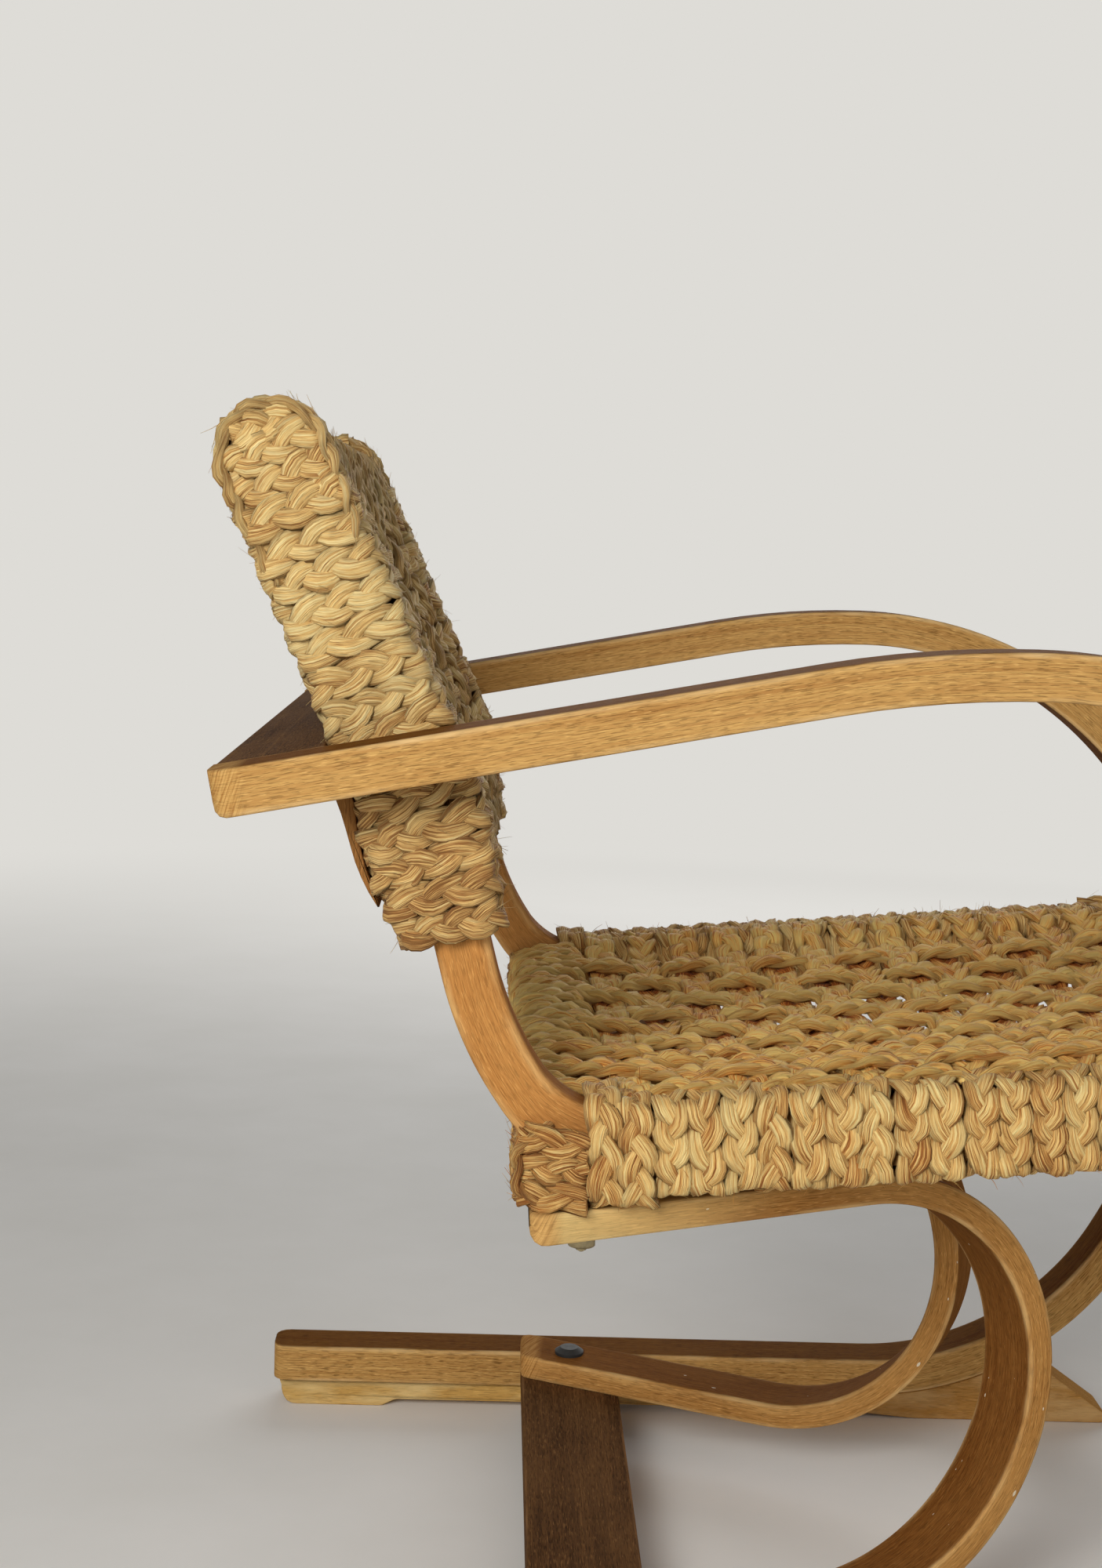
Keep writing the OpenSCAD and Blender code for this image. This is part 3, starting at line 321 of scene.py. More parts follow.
# Materials
class Shader:
    """A node tree, with short calls for the kinds of node used here."""

    def __init__(self, tree):
        self.tree = tree
        self.nodes = tree.nodes

    def fill(self, socket, value):
        """Links an output to a socket, or sets a plain value on it."""
        if hasattr(value, "is_linked"):
            self.tree.links.new(value, socket)
        else:
            socket.default_value = value

    def node(self, kind, **values):
        """A node with its inputs and settings given by name."""
        made = self.nodes.new("ShaderNode" + kind)
        for key, value in values.items():
            if key in made.inputs:
                self.fill(made.inputs[key], value)
            else:
                setattr(made, key, value)
        return made

    def math(self, operation, a, b):
        made = self.node("Math", operation=operation)
        self.fill(made.inputs[0], a)
        self.fill(made.inputs[1], b)
        return made.outputs[0]

    def times(self, a, b):
        return self.math("MULTIPLY", a, b)

    def total(self, first, *more):
        for term in more:
            first = self.math("ADD", first, term)
        return first

    def swing(self, value, gain):
        """A value's distance from one half, times a gain."""
        return self.times(self.math("SUBTRACT", value, 0.5), gain)

    def mix(self, amount, a, b, mode="MIX"):
        made = self.node("Mix", data_type="RGBA", blend_type=mode)
        for index, value in ((0, amount), (6, a), (7, b)):
            self.fill(made.inputs[index], value)
        return made.outputs[2]

    def ramp(self, source, *stops):
        made = self.node("ValToRGB", Fac=source)
        elements = made.color_ramp.elements
        for element, stop in ((elements[0], stops[0]), (elements[1], stops[-1])):
            element.position, element.color = stop
        for position, colour in stops[1:-1]:
            elements.new(position).color = colour
        return made.outputs[0]

    def spread(self, source, low, high, start=0.0, stop=1.0, curve="LINEAR"):
        """Turns values from start to stop into values from low to high."""
        made = self.node("MapRange", Value=source, interpolation_type=curve)
        for key, value in (("From Min", start), ("From Max", stop), ("To Min", low), ("To Max", high)):
            made.inputs[key].default_value = value
        return made.outputs[0]

    def noise(self, place, scale, detail, rough=0.55, distort=0.0):
        """Noise at a place that is scaled by three factors."""
        scaled = self.node("Mapping", Vector=place, Scale=scale)
        return self.node("TexNoise", Vector=scaled.outputs[0], Scale=1.0, Detail=detail, Roughness=rough,
                         Distortion=distort).outputs[0]

    def mask(self):
        """The four channels of the mesh's mask."""
        layer = self.node("Attribute", attribute_name="mask").outputs
        parts = self.node("SeparateColor", Color=layer["Color"]).outputs
        return parts[0], parts[1], parts[2], layer["Alpha"]

    def blend(self, amount, first, second, output):
        """Mixes two shaders into the named output node."""
        made = self.node("MixShader")
        for socket, value in zip(made.inputs, (amount, first, second)):
            self.fill(socket, value)
        self.fill(self.nodes[output].inputs[0], made.outputs[0])


def new_material(name):
    m = bpy.data.materials.new(name)
    m.use_nodes = True
    return m, Shader(m.node_tree), m.node_tree.nodes["Principled BSDF"]


def srgb(r, g, b):
    def linear(c):
        c /= 255
        return c / 12.92 if c <= 0.04045 else ((c + 0.055) / 1.055) ** 2.4
    return (linear(r), linear(g), linear(b), 1)


def grey(v):
    return (v, v, v, 1)


def shade(colour, k):
    return tuple(min(1, k * v) for v in colour[:3]) + (1,)


def end_look(s, place, col, tones, ends, fresh):
    """Growth rings within a few millimetres of the ends, and a fresher colour towards the last one."""
    light, mid, dark = tones
    u = s.node("SeparateXYZ", Vector=place).outputs[0]
    to_last = s.math("SUBTRACT", ends[1], u)
    if fresh:
        near = s.ramp(s.times(to_last, 5.0), (0.10, grey(0.75)), (0.75, grey(0)))
        col = s.mix(near, col, s.mix(0.8, col, srgb(*fresh)))
    reach = s.math("MINIMUM", s.math("SUBTRACT", u, ends[0]), to_last)
    zone = s.ramp(s.times(reach, 20.0), (0.24, grey(1)), (0.38, grey(0)))
    slant = s.node("Mapping", Vector=place, Rotation=(0, 0, -0.45)).outputs[0]
    rings = s.ramp(s.noise(slant, (1000, 40, 30), 2, distort=0.7), (0.36, dark), (0.50, mid), (0.64, light))
    return s.mix(s.times(zone, 0.7), col, rings)


def wood(name, *tones, rough=0.5, grain=None, pore=0.6, broad_shade=None, worn=None, nicks=None, ends=None,
         fresh=None, tint_along=None):
    """Ash with long grain, short dark pores and pale flecks, in a light, a middle and a dark tone.
    The grain runs along the strip, or along the chair's axis with the number grain. broad darkens a strip's
    wide faces with painted shade; worn colours rubbed edges and nicks small chips. ends holds the places of
    both ends along the grain. aged is a tint that comes in along the grain, with the places where it starts
    and is full."""
    material, s, bsdf = new_material(name)
    tones = [srgb(*t) for t in tones]
    light, mid, dark = tones
    if grain is None:
        place = s.node("UVMap", uv_map="UVMap").outputs[0]
    else:
        place = s.node("TexCoord").outputs["Object"]
    axis = grain or 0

    def along(run, width):
        scale = [width] * 3
        scale[axis] = run
        return scale

    fine = s.noise(place, along(16, 900), 3, rough=0.6)
    pores = s.ramp(s.noise(place, along(110, 1400), 2, rough=0.5), (0.38, grey(1)), (0.45, grey(0)))
    flecks = s.ramp(s.noise(place, along(120, 1100), 1), (0.60, grey(0)), (0.70, grey(0.5)))
    blotches = s.ramp(s.noise(place, along(7, 22), 3), (0.40, grey(0)), (0.72, grey(0.30)))
    col = s.ramp(s.noise(place, along(2.2, 110), 4, distort=0.15), (0.30, dark), (0.47, mid), (0.58, mid),
                 (0.72, light))
    col = s.mix(s.ramp(fine, (0.42, grey(0.55)), (0.60, grey(0))), col, dark)
    col = s.mix(flecks, col, shade(light, 1.25))
    col = s.mix(s.times(pores, pore), col, shade(dark, 0.34))
    col = s.mix(blotches, col, shade(light, 1.15))
    wear, face = s.mask()[:2]
    # Painted shade: the strip's wide faces are darkened by a multiplied tint.
    if broad_shade:
        col = s.mix(face, col, s.mix(1.0, col, broad_shade, "MULTIPLY"))
    if worn:
        patchy = s.ramp(s.noise(place, along(18, 60), 3), (0.40, grey(0.05)), (0.66, grey(0.75)))
        col = s.mix(s.times(s.math("POWER", wear, 4.0), patchy), col, srgb(*worn))
    if tint_along:
        start, full, tint = tint_along
        come = s.spread(s.node("SeparateXYZ", Vector=place).outputs[axis], 0, 1, start, full)
        col = s.mix(come, col, s.mix(1.0, col, tint, "MULTIPLY"))
    if nicks:
        chips = s.ramp(s.noise(place, (150, 330, 330), 0), (0.85, grey(0)), (0.865, grey(0.9)))
        col = s.mix(chips, col, srgb(*nicks))
    if ends:
        col = end_look(s, place, col, tones, ends, fresh)
    s.fill(bsdf.inputs["Base Color"], col)
    s.fill(bsdf.inputs["Roughness"], s.spread(fine, rough - 0.08, rough + 0.16))
    bsdf.inputs["Specular IOR Level"].default_value = 0.004
    bump = s.node("Bump", Strength=0.5, Distance=0.0006, Height=s.math("SUBTRACT", fine, pores))
    s.fill(bsdf.inputs["Normal"], bump.outputs[0])
    return material


def rope(name, *tones):
    """Plaited plant fibre in straw, middle, brown and red tones, with painted shade where a strand dives.
    The mask holds dive and crevice, both painted shade, the strand's own tint, and how brown the place is,
    partly its own colour and partly painted shade."""
    material, s, bsdf = new_material(name)
    straw, mid, brown, red = [srgb(*t) for t in tones]
    place = s.node("UVMap", uv_map="UVMap").outputs[0]
    dive, crevice, own, brown_and_shade = s.mask()
    fibre = s.noise(place, (34, 2100, 1), 3, rough=0.75, distort=0.3)
    streak = s.noise(place, (26, 900, 1), 3, rough=0.7, distort=0.3)
    patch = s.noise(place, (26, 90, 1), 2)
    # Each strand has its own mean tone, and streaks of straw and brown run along it. The mask's browning is
    # partly its own colour and partly painted shade.
    tone = s.total(s.swing(streak, 2.3), s.swing(fibre, 2.4), s.swing(own, 0.22), s.swing(patch, 0.7),
                   s.times(brown_and_shade, -0.52), 0.80)
    col = s.ramp(tone, (0.0, shade(red, 0.62)), (0.20, red), (0.42, brown), (0.66, mid), (1.0, straw))
    # A few strands are reddish for part of their length.
    ruddy = s.total(s.times(own, 0.10), patch)
    col = s.mix(s.ramp(ruddy, (0.62, grey(0)), (0.78, grey(0.28))), col, red)
    # Painted shade in a deep red-brown: in the crevices between strands and where a strand dives.
    deep = shade(red, 0.42)
    col = s.mix(s.times(s.math("POWER", crevice, 2.0), 0.24), col, deep)
    col = s.mix(s.times(dive, 0.50), col, deep)
    s.fill(bsdf.inputs["Base Color"], col)
    bsdf.inputs["Roughness"].default_value = 0.55
    bsdf.inputs["Specular IOR Level"].default_value = 0.1
    bsdf.inputs["Sheen Weight"].default_value = 0.03
    bsdf.inputs["Sheen Roughness"].default_value = 0.5
    relief = s.total(fibre, s.times(streak, 1.4))
    bump = s.node("Bump", Strength=0.9, Distance=0.0016, Height=relief)
    s.fill(bsdf.inputs["Normal"], bump.outputs[0])
    return material


def metal(name, base, rough, metallic):
    """Dull metal with small darker patches."""
    material, s, bsdf = new_material(name)
    patches = s.noise(s.node("TexCoord").outputs["Object"], (260, 260, 260), 4)
    s.fill(bsdf.inputs["Base Color"], s.ramp(patches, (0.3, shade(base, 0.6)), (0.7, base)))
    s.fill(bsdf.inputs["Roughness"], s.spread(patches, rough - 0.1, rough + 0.15))
    bsdf.inputs["Metallic"].default_value = metallic
    return material


# The tints on the wide faces of the loops, springs and laminates are painted shade.
ash = wood("ash", (212, 171, 106), (194, 151, 88), (160, 110, 58), pore=0.62, broad_shade=(0.36, 0.26, 0.17, 1),
           worn=(228, 192, 136), ends=(-1.0, loop_way.length * MM))
spring_ash = wood("spring_ash", (214, 166, 100), (196, 144, 80), (156, 104, 52), pore=0.42,
                  broad_shade=(0.43, 0.34, 0.27, 1), worn=(228, 190, 130), nicks=(236, 226, 200),
                  ends=(0.0, spring_way.length * MM), fresh=(230, 204, 138))
ash_bare = wood("ash_bare", (210, 158, 92), (190, 132, 71), (162, 103, 50), pore=0.35,
                broad_shade=(0.80, 0.72, 0.66, 1), worn=(224, 180, 118))
# A darker copy of the ash, painted shade for the cleats behind the windings and the CAD pieces that stay.
inner_ash = wood("inner_ash", (178, 128, 74), (152, 104, 56), (116, 76, 38), grain=2)
# The skids grow darker and redder towards the front.
pale = wood("pale_ash", (212, 172, 100), (199, 155, 84), (182, 137, 70), rough=0.55, pore=0.4, grain=0,
            worn=(232, 204, 144), tint_along=(-0.15, 0.12, (0.86, 0.74, 0.70, 1)))
dark_wood = wood("dark_wood", (132, 95, 58), (101, 70, 42), (65, 43, 26), rough=0.55, grain=1,
                 worn=(156, 116, 78))
seat_rope = rope("seat_rope", (255, 230, 160), (246, 202, 126), (212, 158, 88), (170, 106, 52))
weave_rope = rope("weave_rope", (255, 221, 134), (253, 193, 102), (225, 150, 69), (186, 101, 40))
back_rope = rope("back_rope", (250, 226, 162), (238, 198, 126), (208, 162, 98), (168, 116, 64))
black = metal("blackened_steel", (0.016, 0.015, 0.014, 1), 0.62, 0.2)
steel = metal("dull_steel", (0.46, 0.38, 0.22, 1), 0.5, 0.7)

# Side loops
CORNER_R, ARM_TIP_R = 11.0, 6.6
loop_s = stations(loop_way, CORNER_R)
turned = np.minimum(1, np.degrees(loop_way.at(loop_s)[2]) / 180)
thick = RUNNER_T + (ARM_T - RUNNER_T) * turned
from_arm_end = loop_way.length - loop_s
for side, hand in BOTH:
    at_rear = inset(loop_s, CORNER_R)
    y0, y1 = across(side, LOOP_IN + at_rear, LOOP_OUT - at_rear - inset(from_arm_end, CORNER_R))
    piece = strip(hand + "_loop_wood", loop_way, loop_s, -inset(from_arm_end, ARM_TIP_R), thick, y0, y1, ash)
    stand_for(piece, "ash", hand + "_loop")

# Springs, toed in towards the front, with ends that stay square to the chair
INNER_R, SKEW_LEN = 5.5, 90.0
spring_s = stations(spring_way, CORNER_R)
from_low, from_high = spring_s, spring_way.length - spring_s
skew = np.clip(1 - from_low / SKEW_LEN, 0, 1) + np.clip(1 - from_high / SKEW_LEN, 0, 1)
skew *= tan(TOE) * np.sign(np.cos(spring_way.at(spring_s)[2]))


def spring_place(side):
    """Turns a spring by its toe and stands it on its side of the chair."""
    def place(p):
        x, y, z = p[..., 0], p[..., 1], p[..., 2]
        return np.stack([SPRING_X + x * cos(TOE) + side * y * sin(TOE),
                         side * SPRING_Y - side * x * sin(TOE) + y * cos(TOE), z], -1)
    return place


for side, hand in BOTH:
    tuck = inset(from_low, CORNER_R) + inset(from_high, CORNER_R)
    part = inset(from_low, INNER_R) + inset(from_high, INNER_R)
    y0 = -SPRING_W / 2 + (part if side > 0 else tuck)
    y1 = SPRING_W / 2 - (tuck if side > 0 else part)
    outer = SPRING_T / 2 - inset(from_high, 3.0) - inset(from_low, 2.0)
    inner = SPRING_T / 2 - inset(from_high, 9.0) - inset(from_low, 2.5)
    piece = strip(hand + "_spring_wood", spring_way, spring_s, inner, outer, y0, y1, spring_ash,
                  place=spring_place(side), shear=-side * skew)
    stand_for(piece, "ash", hand + "_spring")

# Side laminates
laminate_s = np.unique(np.round(np.append(side_way.p[:, 3], [S_WRAP, S_FULL]), 3))
for side, hand in BOTH:
    half = depth_at(laminate_s) / 2
    y0, y1 = across(side, SIDE_IN, SIDE_OUT)
    piece = strip(hand + "_side_laminate_wood", side_way, laminate_s, half, half, y0, y1, ash_bare, bevel=3.0)
    stand_for(piece, "ash", hand + "_side_laminate")

# Skids: a rounded heel, a shallow rise under the runner, and a wedge under the front bend
SKID_X = REAR + 6
RISE_X = REAR + RUNNER_LEN
HEEL_R, TOE_R = 13.0, 4.5
under_bend = []
for x, z, degrees, _ in [q for q in loop_way.p if 0 < q[2] < 33][::-1]:
    d = RUNNER_T + (ARM_T - RUNNER_T) * degrees / 180
    under_bend.append((x + d * sin(radians(degrees)), z - d * cos(radians(degrees))))
soffit = ((78, 0), (81, 0.4), (90, 4.9), (93, 5.5), (96, 5.6), (440, 5.6), (446, 5.4), (500, 0.4), (506, 0))
skid = ([(SKID_X - 2, SKID_T - 0.2)] + arc(SKID_X + HEEL_R, HEEL_R, HEEL_R, 184, 270)
        + [(SKID_X + x, z) for x, z in soffit]
        + arc(RISE_X + 190, TOE_R, TOE_R, -90, 60, 7) + under_bend + [(RISE_X, SKID_T)])
for side, hand in BOTH:
    build = Build()
    y0, y1 = across(side, LOOP_IN, LOOP_OUT)
    prism(build, skid, y0, y1, 1.6)
    v = build.v[0]
    # The rear upright corners are rounded like the runner's.
    pull = inset(v[:, 0] - SKID_X, CORNER_R)
    v[:, 1] = np.clip(v[:, 1], y0 + pull, y1 - pull)
    stand_for(build.make(hand + "_skid_wood", pale), "pale_ash", hand + "_skid")

# Planks
PLANK_R, PLANK_BEVEL = 2.5, 0.4
ARM_PLANK_W, ARM_PLANK_LOW, ARM_PLANK_HIGH = 58.0, 1.0, 25.0
arm_x, arm_z, arm_h = loop_way.at(loop_way.length)
SLOPE_X, SLOPE_Z = -cos(arm_h), -sin(arm_h)


def from_end(along, up):
    """A point along the arms' slope from their rear end, up from their underside line."""
    return (float(arm_x + along * SLOPE_X - up * SLOPE_Z), float(arm_z + along * SLOPE_Z + up * SLOPE_X))


def plank(name, corners):
    build = Build()
    prism(build, rounded(corners, PLANK_R), -LOOP_IN, LOOP_IN, PLANK_BEVEL)
    stand_for(build.make(name + "_wood", dark_wood), "dark_wood", name)


plank("floor_plank", [(PLANK_X, RUNNER_TOP - PLANK_T), (PLANK_X + PLANK_W, RUNNER_TOP - PLANK_T),
                      (PLANK_X + PLANK_W, RUNNER_TOP), (PLANK_X, RUNNER_TOP)])
plank("rear_plank", [from_end(0, ARM_PLANK_LOW), from_end(ARM_PLANK_W, ARM_PLANK_LOW),
                     from_end(ARM_PLANK_W, ARM_PLANK_HIGH), from_end(0, ARM_PLANK_HIGH)])

# Each cleat runs down from the plank's front edge and lies behind the winding, thinner towards its foot.
CLEAT_Y, CLEAT_W, CLEAT_TOP = (SIDE_IN + SIDE_OUT) / 2, 24.0, 17.5
# Both faces are pairs: how far down from the plank, and how proud of the rope's nominal rear face.
CLEAT_FRONT = ((90, 9.2), (80, 8.8), (67, 8.0), (57, 6.4), (48, 4.4), (38, 1.8), (26, -1.2), (13, 0.2),
               (0, 0.3))
CLEAT_REAR = ((20, 7.4), (30, 7.8), (40, 8.6), (50, 10.0), (60, 11.6), (70, 12.2), (80, 11.8), (90, 10.2))


def rope_face(s, proud):
    """A point in the side view behind the upright, proud of the rope's nominal rear face."""
    x, z, h = side_way.at(s)
    d = depth_at(s) / 2 + WOUND + proud
    return float(x - d * np.sin(h)), float(z + d * np.cos(h))


tries = np.linspace(S_WRAP, S_END, 90)
CLEAT_S = float(np.interp(from_end(ARM_PLANK_W, CLEAT_TOP)[1], [rope_face(s, 0)[1] for s in tries], tries))
cleat = ([rope_face(CLEAT_S - down, proud) for down, proud in CLEAT_FRONT]
         + [from_end(ARM_PLANK_W, CLEAT_TOP), from_end(ARM_PLANK_W, ARM_PLANK_LOW)]
         + [rope_face(CLEAT_S - down, proud) for down, proud in CLEAT_REAR])
build = Build()
for side, _ in BOTH:
    prism(build, cleat, side * CLEAT_Y - CLEAT_W / 2, side * CLEAT_Y + CLEAT_W / 2, 0.8)
stand_for(build.make("back_cleats_wood", inner_ash), "ash", "back_cleats")

# The seat's nuts are big chamfered hexagons below the springs' ends, with the bolts' pointed tips.
NUT_X, NUT_Y, NUT_R, NUT_TOP, NUT_H = SPRING_X + 21.04, 228.8, 8.6, SPRING_TOP - SPRING_T - 1.6, 8.0
CHAMFER, CHAMFER_R, TIP_R, TIP_H = 1.2, 0.86 * NUT_R, 3.2, 3.4
angle = np.radians(np.arange(0, 360, 10))
hexagon = NUT_R * cos(pi / 6) / np.cos((angle + pi / 6) % (pi / 3) - pi / 6)
circle = np.ones(len(angle))
nut_rings = [(0.05 * circle, 0.0), (CHAMFER_R * circle, 0.0), (hexagon, CHAMFER), (hexagon, NUT_H - CHAMFER),
             (CHAMFER_R * circle, NUT_H), ((TIP_R + 0.1) * circle, NUT_H), (TIP_R * circle, NUT_H + 1.6),
             (1.4 * circle, NUT_H + TIP_H), (0.05 * circle, NUT_H + TIP_H)]
build = Build()
for side, _ in BOTH:
    pts = np.stack([np.stack([NUT_X + r * np.cos(angle), side * NUT_Y + r * np.sin(angle),
                              np.full(len(angle), NUT_TOP - down)], -1) for r, down in nut_rings])
    build.grid(pts, (np.array([0, 5, 7, 13, 15, 20, 22, 24, 26.0]), np.append(angle, 2 * pi) * NUT_R),
               np.ones(pts.shape[:2] + (4,)), caps=False)
stand_for(build.make("seat_nuts_steel", steel), "blackened_steel", "seat_nuts")


# Plaits
def fillet(pts, radius, n=6):
    """Rounds the corners of an open line of 2D points."""
    out = [np.array(pts[0], float)]
    for i in range(1, len(pts) - 1):
        v = np.array(pts[i], float)
        a = np.array(pts[i - 1], float) - v
        b = np.array(pts[i + 1], float) - v
        r = min(radius, 0.48 * np.linalg.norm(a), 0.48 * np.linalg.norm(b))
        pa, pb = v + a / np.linalg.norm(a) * r, v + b / np.linalg.norm(b) * r
        out += [pa * (1 - t) ** 2 + v * 2 * t * (1 - t) + pb * t * t for t in np.linspace(0, 1, n)]
    out.append(np.array(pts[-1], float))
    return np.array(out)


def lengths(p):
    """The length along a line at each of its points."""
    return np.concatenate([[0], np.cumsum(np.linalg.norm(np.diff(p, axis=0), axis=1))])


def resample(p, step):
    """The same line with points at even steps."""
    p = p[np.concatenate([[True], np.linalg.norm(np.diff(p, axis=0), axis=1) > 1e-6])]
    s = lengths(p)
    t = np.linspace(0, s[-1], max(3, int(round(s[-1] / step)) + 1))
    return np.stack([np.interp(t, s, p[:, i]) for i in range(p.shape[1])], -1)


def smooth(f):
    """An even start and stop for a share from 0 to 1."""
    f = np.clip(f, 0, 1)
    return f * f * (3 - 2 * f)


def wander(t, every, size):
    """A smooth random walk of a given size along a length."""
    knots = np.arange(-every, t[-1] + 2 * every, every)
    v = rng.normal(0, size, len(knots))
    f = (t - knots[0]) / every
    i = np.clip(f.astype(int), 0, len(knots) - 2)
    w = smooth(f - i)
    return v[i] * (1 - w) + v[i + 1] * w


STRAND_SIDES = 16
STEP = 3.6
builds = {name: Build() for name in (
    "right_seat_winding", "left_seat_winding", "woven_seat", "right_back_winding", "left_back_winding",
    "woven_back", "rear_corner_wraps", "front_corner_wraps", "back_end_wraps")}
fuzz = {"seat": [], "back": []}


def kind_of(name):
    return "back" if "back" in name else "seat"


def add_hairs(kind, count, ring, centre, along, over):
    """Notes loose fibres that leave a strand where it lies on top."""
    for _ in range(count):
        i = int(rng.integers(2, len(ring) - 3))
        if over[i] < -0.2:
            continue
        q = int(rng.integers(0, STRAND_SIDES // 2 + 1))
        out = unit(ring[i, q] - centre[i])
        size = rng.uniform(5, 14)
        bend = unit(rng.normal(0, 1, 3))
        f = np.linspace(0, 1, 5)[:, None]
        line = (ring[i, q] - out * 0.4 + along[i] * size * f + out * (0.5 + size * 0.14 * rng.random()) * f
                + bend * size * 0.22 * f * f)
        fuzz[kind].append((line, rng.uniform(0.12, 0.30)))


def braid(name, pts, side_vec, hairs, period, brown_and_shade, lat=6.0, lift=1.8, wide=4.9, high=2.3, width=1.0):
    """Adds a flat three-strand plait along pts to a piece; side_vec lies across its width.
    lat and lift are a strand's swings across and up, wide and high its half sizes; hairs go by the 100 mm."""
    t = lengths(pts)
    ahead = unit(np.gradient(pts, axis=0))
    sideways = np.broadcast_to(np.asarray(side_vec, float), pts.shape)
    sideways = unit(sideways - ahead * np.sum(sideways * ahead, -1, keepdims=True))
    top = unit(np.cross(sideways, ahead))
    jitter = rng.uniform(0, 50)
    phase = rng.uniform(0, 6.28)
    wobble = wander(t, 24.0, 0.30)
    hand = 1 if rng.random() < 0.5 else -1
    width = np.broadcast_to(np.asarray(width, float), t.shape)
    brown_and_shade = np.broadcast_to(np.asarray(brown_and_shade, float), t.shape)
    around = 2 * pi * np.arange(STRAND_SIDES) / STRAND_SIDES
    cosines, sines = np.cos(around), np.sin(around)
    for k in range(3):
        angle = hand * (2 * pi * (t / period + k / 3) + phase + wobble)
        # Strands run nearly straight from edge to edge and are fullest on top.
        over = np.sin(2 * angle)
        swing = np.sin(angle) + 0.08 * np.sin(3 * angle)
        grow = 0.97 + 0.18 * over + wander(t, 13.0, 0.08)
        centre = (pts + sideways * (width * (lat * swing + wander(t, 12.0, 0.45)))[:, None]
                  + top * (lift * (over + 0.25) + wander(t, 12.0, 0.35))[:, None])
        along = unit(np.gradient(centre, axis=0))
        across = unit(np.cross(top, along))
        # The strand's outer edge rolls down over the plait's side.
        roll = 0.42 * swing + wander(t, 18.0, 0.10)
        across = unit(across * np.cos(roll)[:, None] - top * np.sin(roll)[:, None])
        up = unit(np.cross(along, across))
        # Bundles of fibres show as ridges that turn slowly along the strand.
        twist = t[:, None] * 0.06 + wander(t, 20.0, 1.4)[:, None] + rng.uniform(0, 6)
        ridge = 1 + 0.10 * np.cos(5 * around + twist) + 0.09 * np.sin(7 * around - 0.7 * twist)
        half_wide = (wide * width * grow)[:, None] * cosines * ridge
        half_high = (high * grow)[:, None] * sines * ridge
        ring = (centre[:, None, :] + across[:, None, :] * half_wide[..., None]
                + up[:, None, :] * half_high[..., None])
        # Each strand takes its own part of the fibre pattern.
        u = lengths(centre) + jitter * 37 + k * 911
        v = np.append(around, 2 * pi) * 4.0 + jitter * 13 + k * 71
        mask = np.zeros((len(t), STRAND_SIDES, 4))
        # Painted shade: dark where the strand dives under the others, along its edges and on its underside.
        mask[..., 0] = np.clip(-0.15 - 0.85 * over, 0, 1)[:, None]
        mask[..., 1] = np.clip(np.abs(cosines) ** 4 + np.clip(-sines, 0, 1) * 0.6, 0, 1)
        mask[..., 2] = rng.uniform(0, 1)
        mask[..., 3] = brown_and_shade[:, None]
        builds[name].grid(ring, (u, v), mask)
        add_hairs(kind_of(name), int(1.6 * hairs * t[-1] / 100), ring, centre, along, over)


def add_fuzz(build, lines):
    """Thin loose fibres that stand off the strands."""
    for line, r in lines:
        d = unit(np.gradient(line, axis=0))
        a = unit(np.cross(d, [0.3, 0.5, 0.8]))
        b = np.cross(d, a)
        al = 2 * pi * np.arange(3) / 3
        rad = r * np.linspace(1, 0.35, len(line))
        ring = line[:, None, :] + rad[:, None, None] * (a[:, None, :] * np.cos(al)[None, :, None]
                                                        + b[:, None, :] * np.sin(al)[None, :, None])
        mask = np.zeros((len(line), 3, 4))
        mask[..., 2] = rng.uniform(0, 1)
        mask[..., 3] = rng.uniform(0, 0.5)
        build.grid(ring, (np.linspace(0, 9, len(line)) + rng.uniform(0, 400), np.arange(4) * 0.5), mask)


HALF_OUT = SIDE_OUT + ROPE_MID
HALF_IN = SIDE_IN - ROPE_MID
RAIL_LOW = -RAIL_D / 2 - ROPE_MID
SEAT_SAG, BACK_SAG, HALF_Y = 16, 14, 212.0
SEAT_ALONG = np.array([cos(TILT), 0, sin(TILT)])
front_x, front_z, _ = side_way.at(0.0)


def seat_pt(s, y, v):
    """A seat point: s back from the front end, y across, v up from the rails' middle."""
    s, y, v = np.broadcast_arrays(s, y, v)
    return np.stack([front_x - s * cos(TILT) - v * sin(TILT), y,
                     front_z - s * sin(TILT) + v * cos(TILT)], -1)


def back_pt(s, y, f):
    """A back point: s up along the upright, y across, f to its front."""
    s, y, f = np.broadcast_arrays(s, y, f)
    x, z, h = side_way.at(s)
    return np.stack([x + f * np.sin(h), y, z - f * np.cos(h)], -1)


def up_back(s):
    """The direction up along the upright."""
    h = side_way.at(s)[2]
    return np.array([cos(h), 0, sin(h)])


# Windings of the side members
SEAT_TURNS, SEAT_PITCH = 22, 18.5
BACK_TURNS, BACK_PITCH = 14, 18.0
LAST_TURN = S_BEND + (BEND_X - (SPRING_X + 30.2)) / cos(TILT)
FIRST_TURN = LAST_TURN - (SEAT_TURNS - 1) * SEAT_PITCH


def seat_hi(s):
    """The rope's middle above the seat rail, which rises into the bend."""
    u = max(0.0, s - S_BEND)
    r = BEND_R - (RAIL_D + 2) / 2
    return BEND_R - sqrt(max(r * r - u * u, 0)) + GAP + 5.0


def seat_lo(s):
    """The rope's middle below the seat rail, which stands on the heel at the rear."""
    if s < S_BEND - 4:
        return RAIL_LOW
    return -(float(seat_pt(s, 0, 0)[2]) - HEEL_Z) / cos(TILT) - ROPE_MID


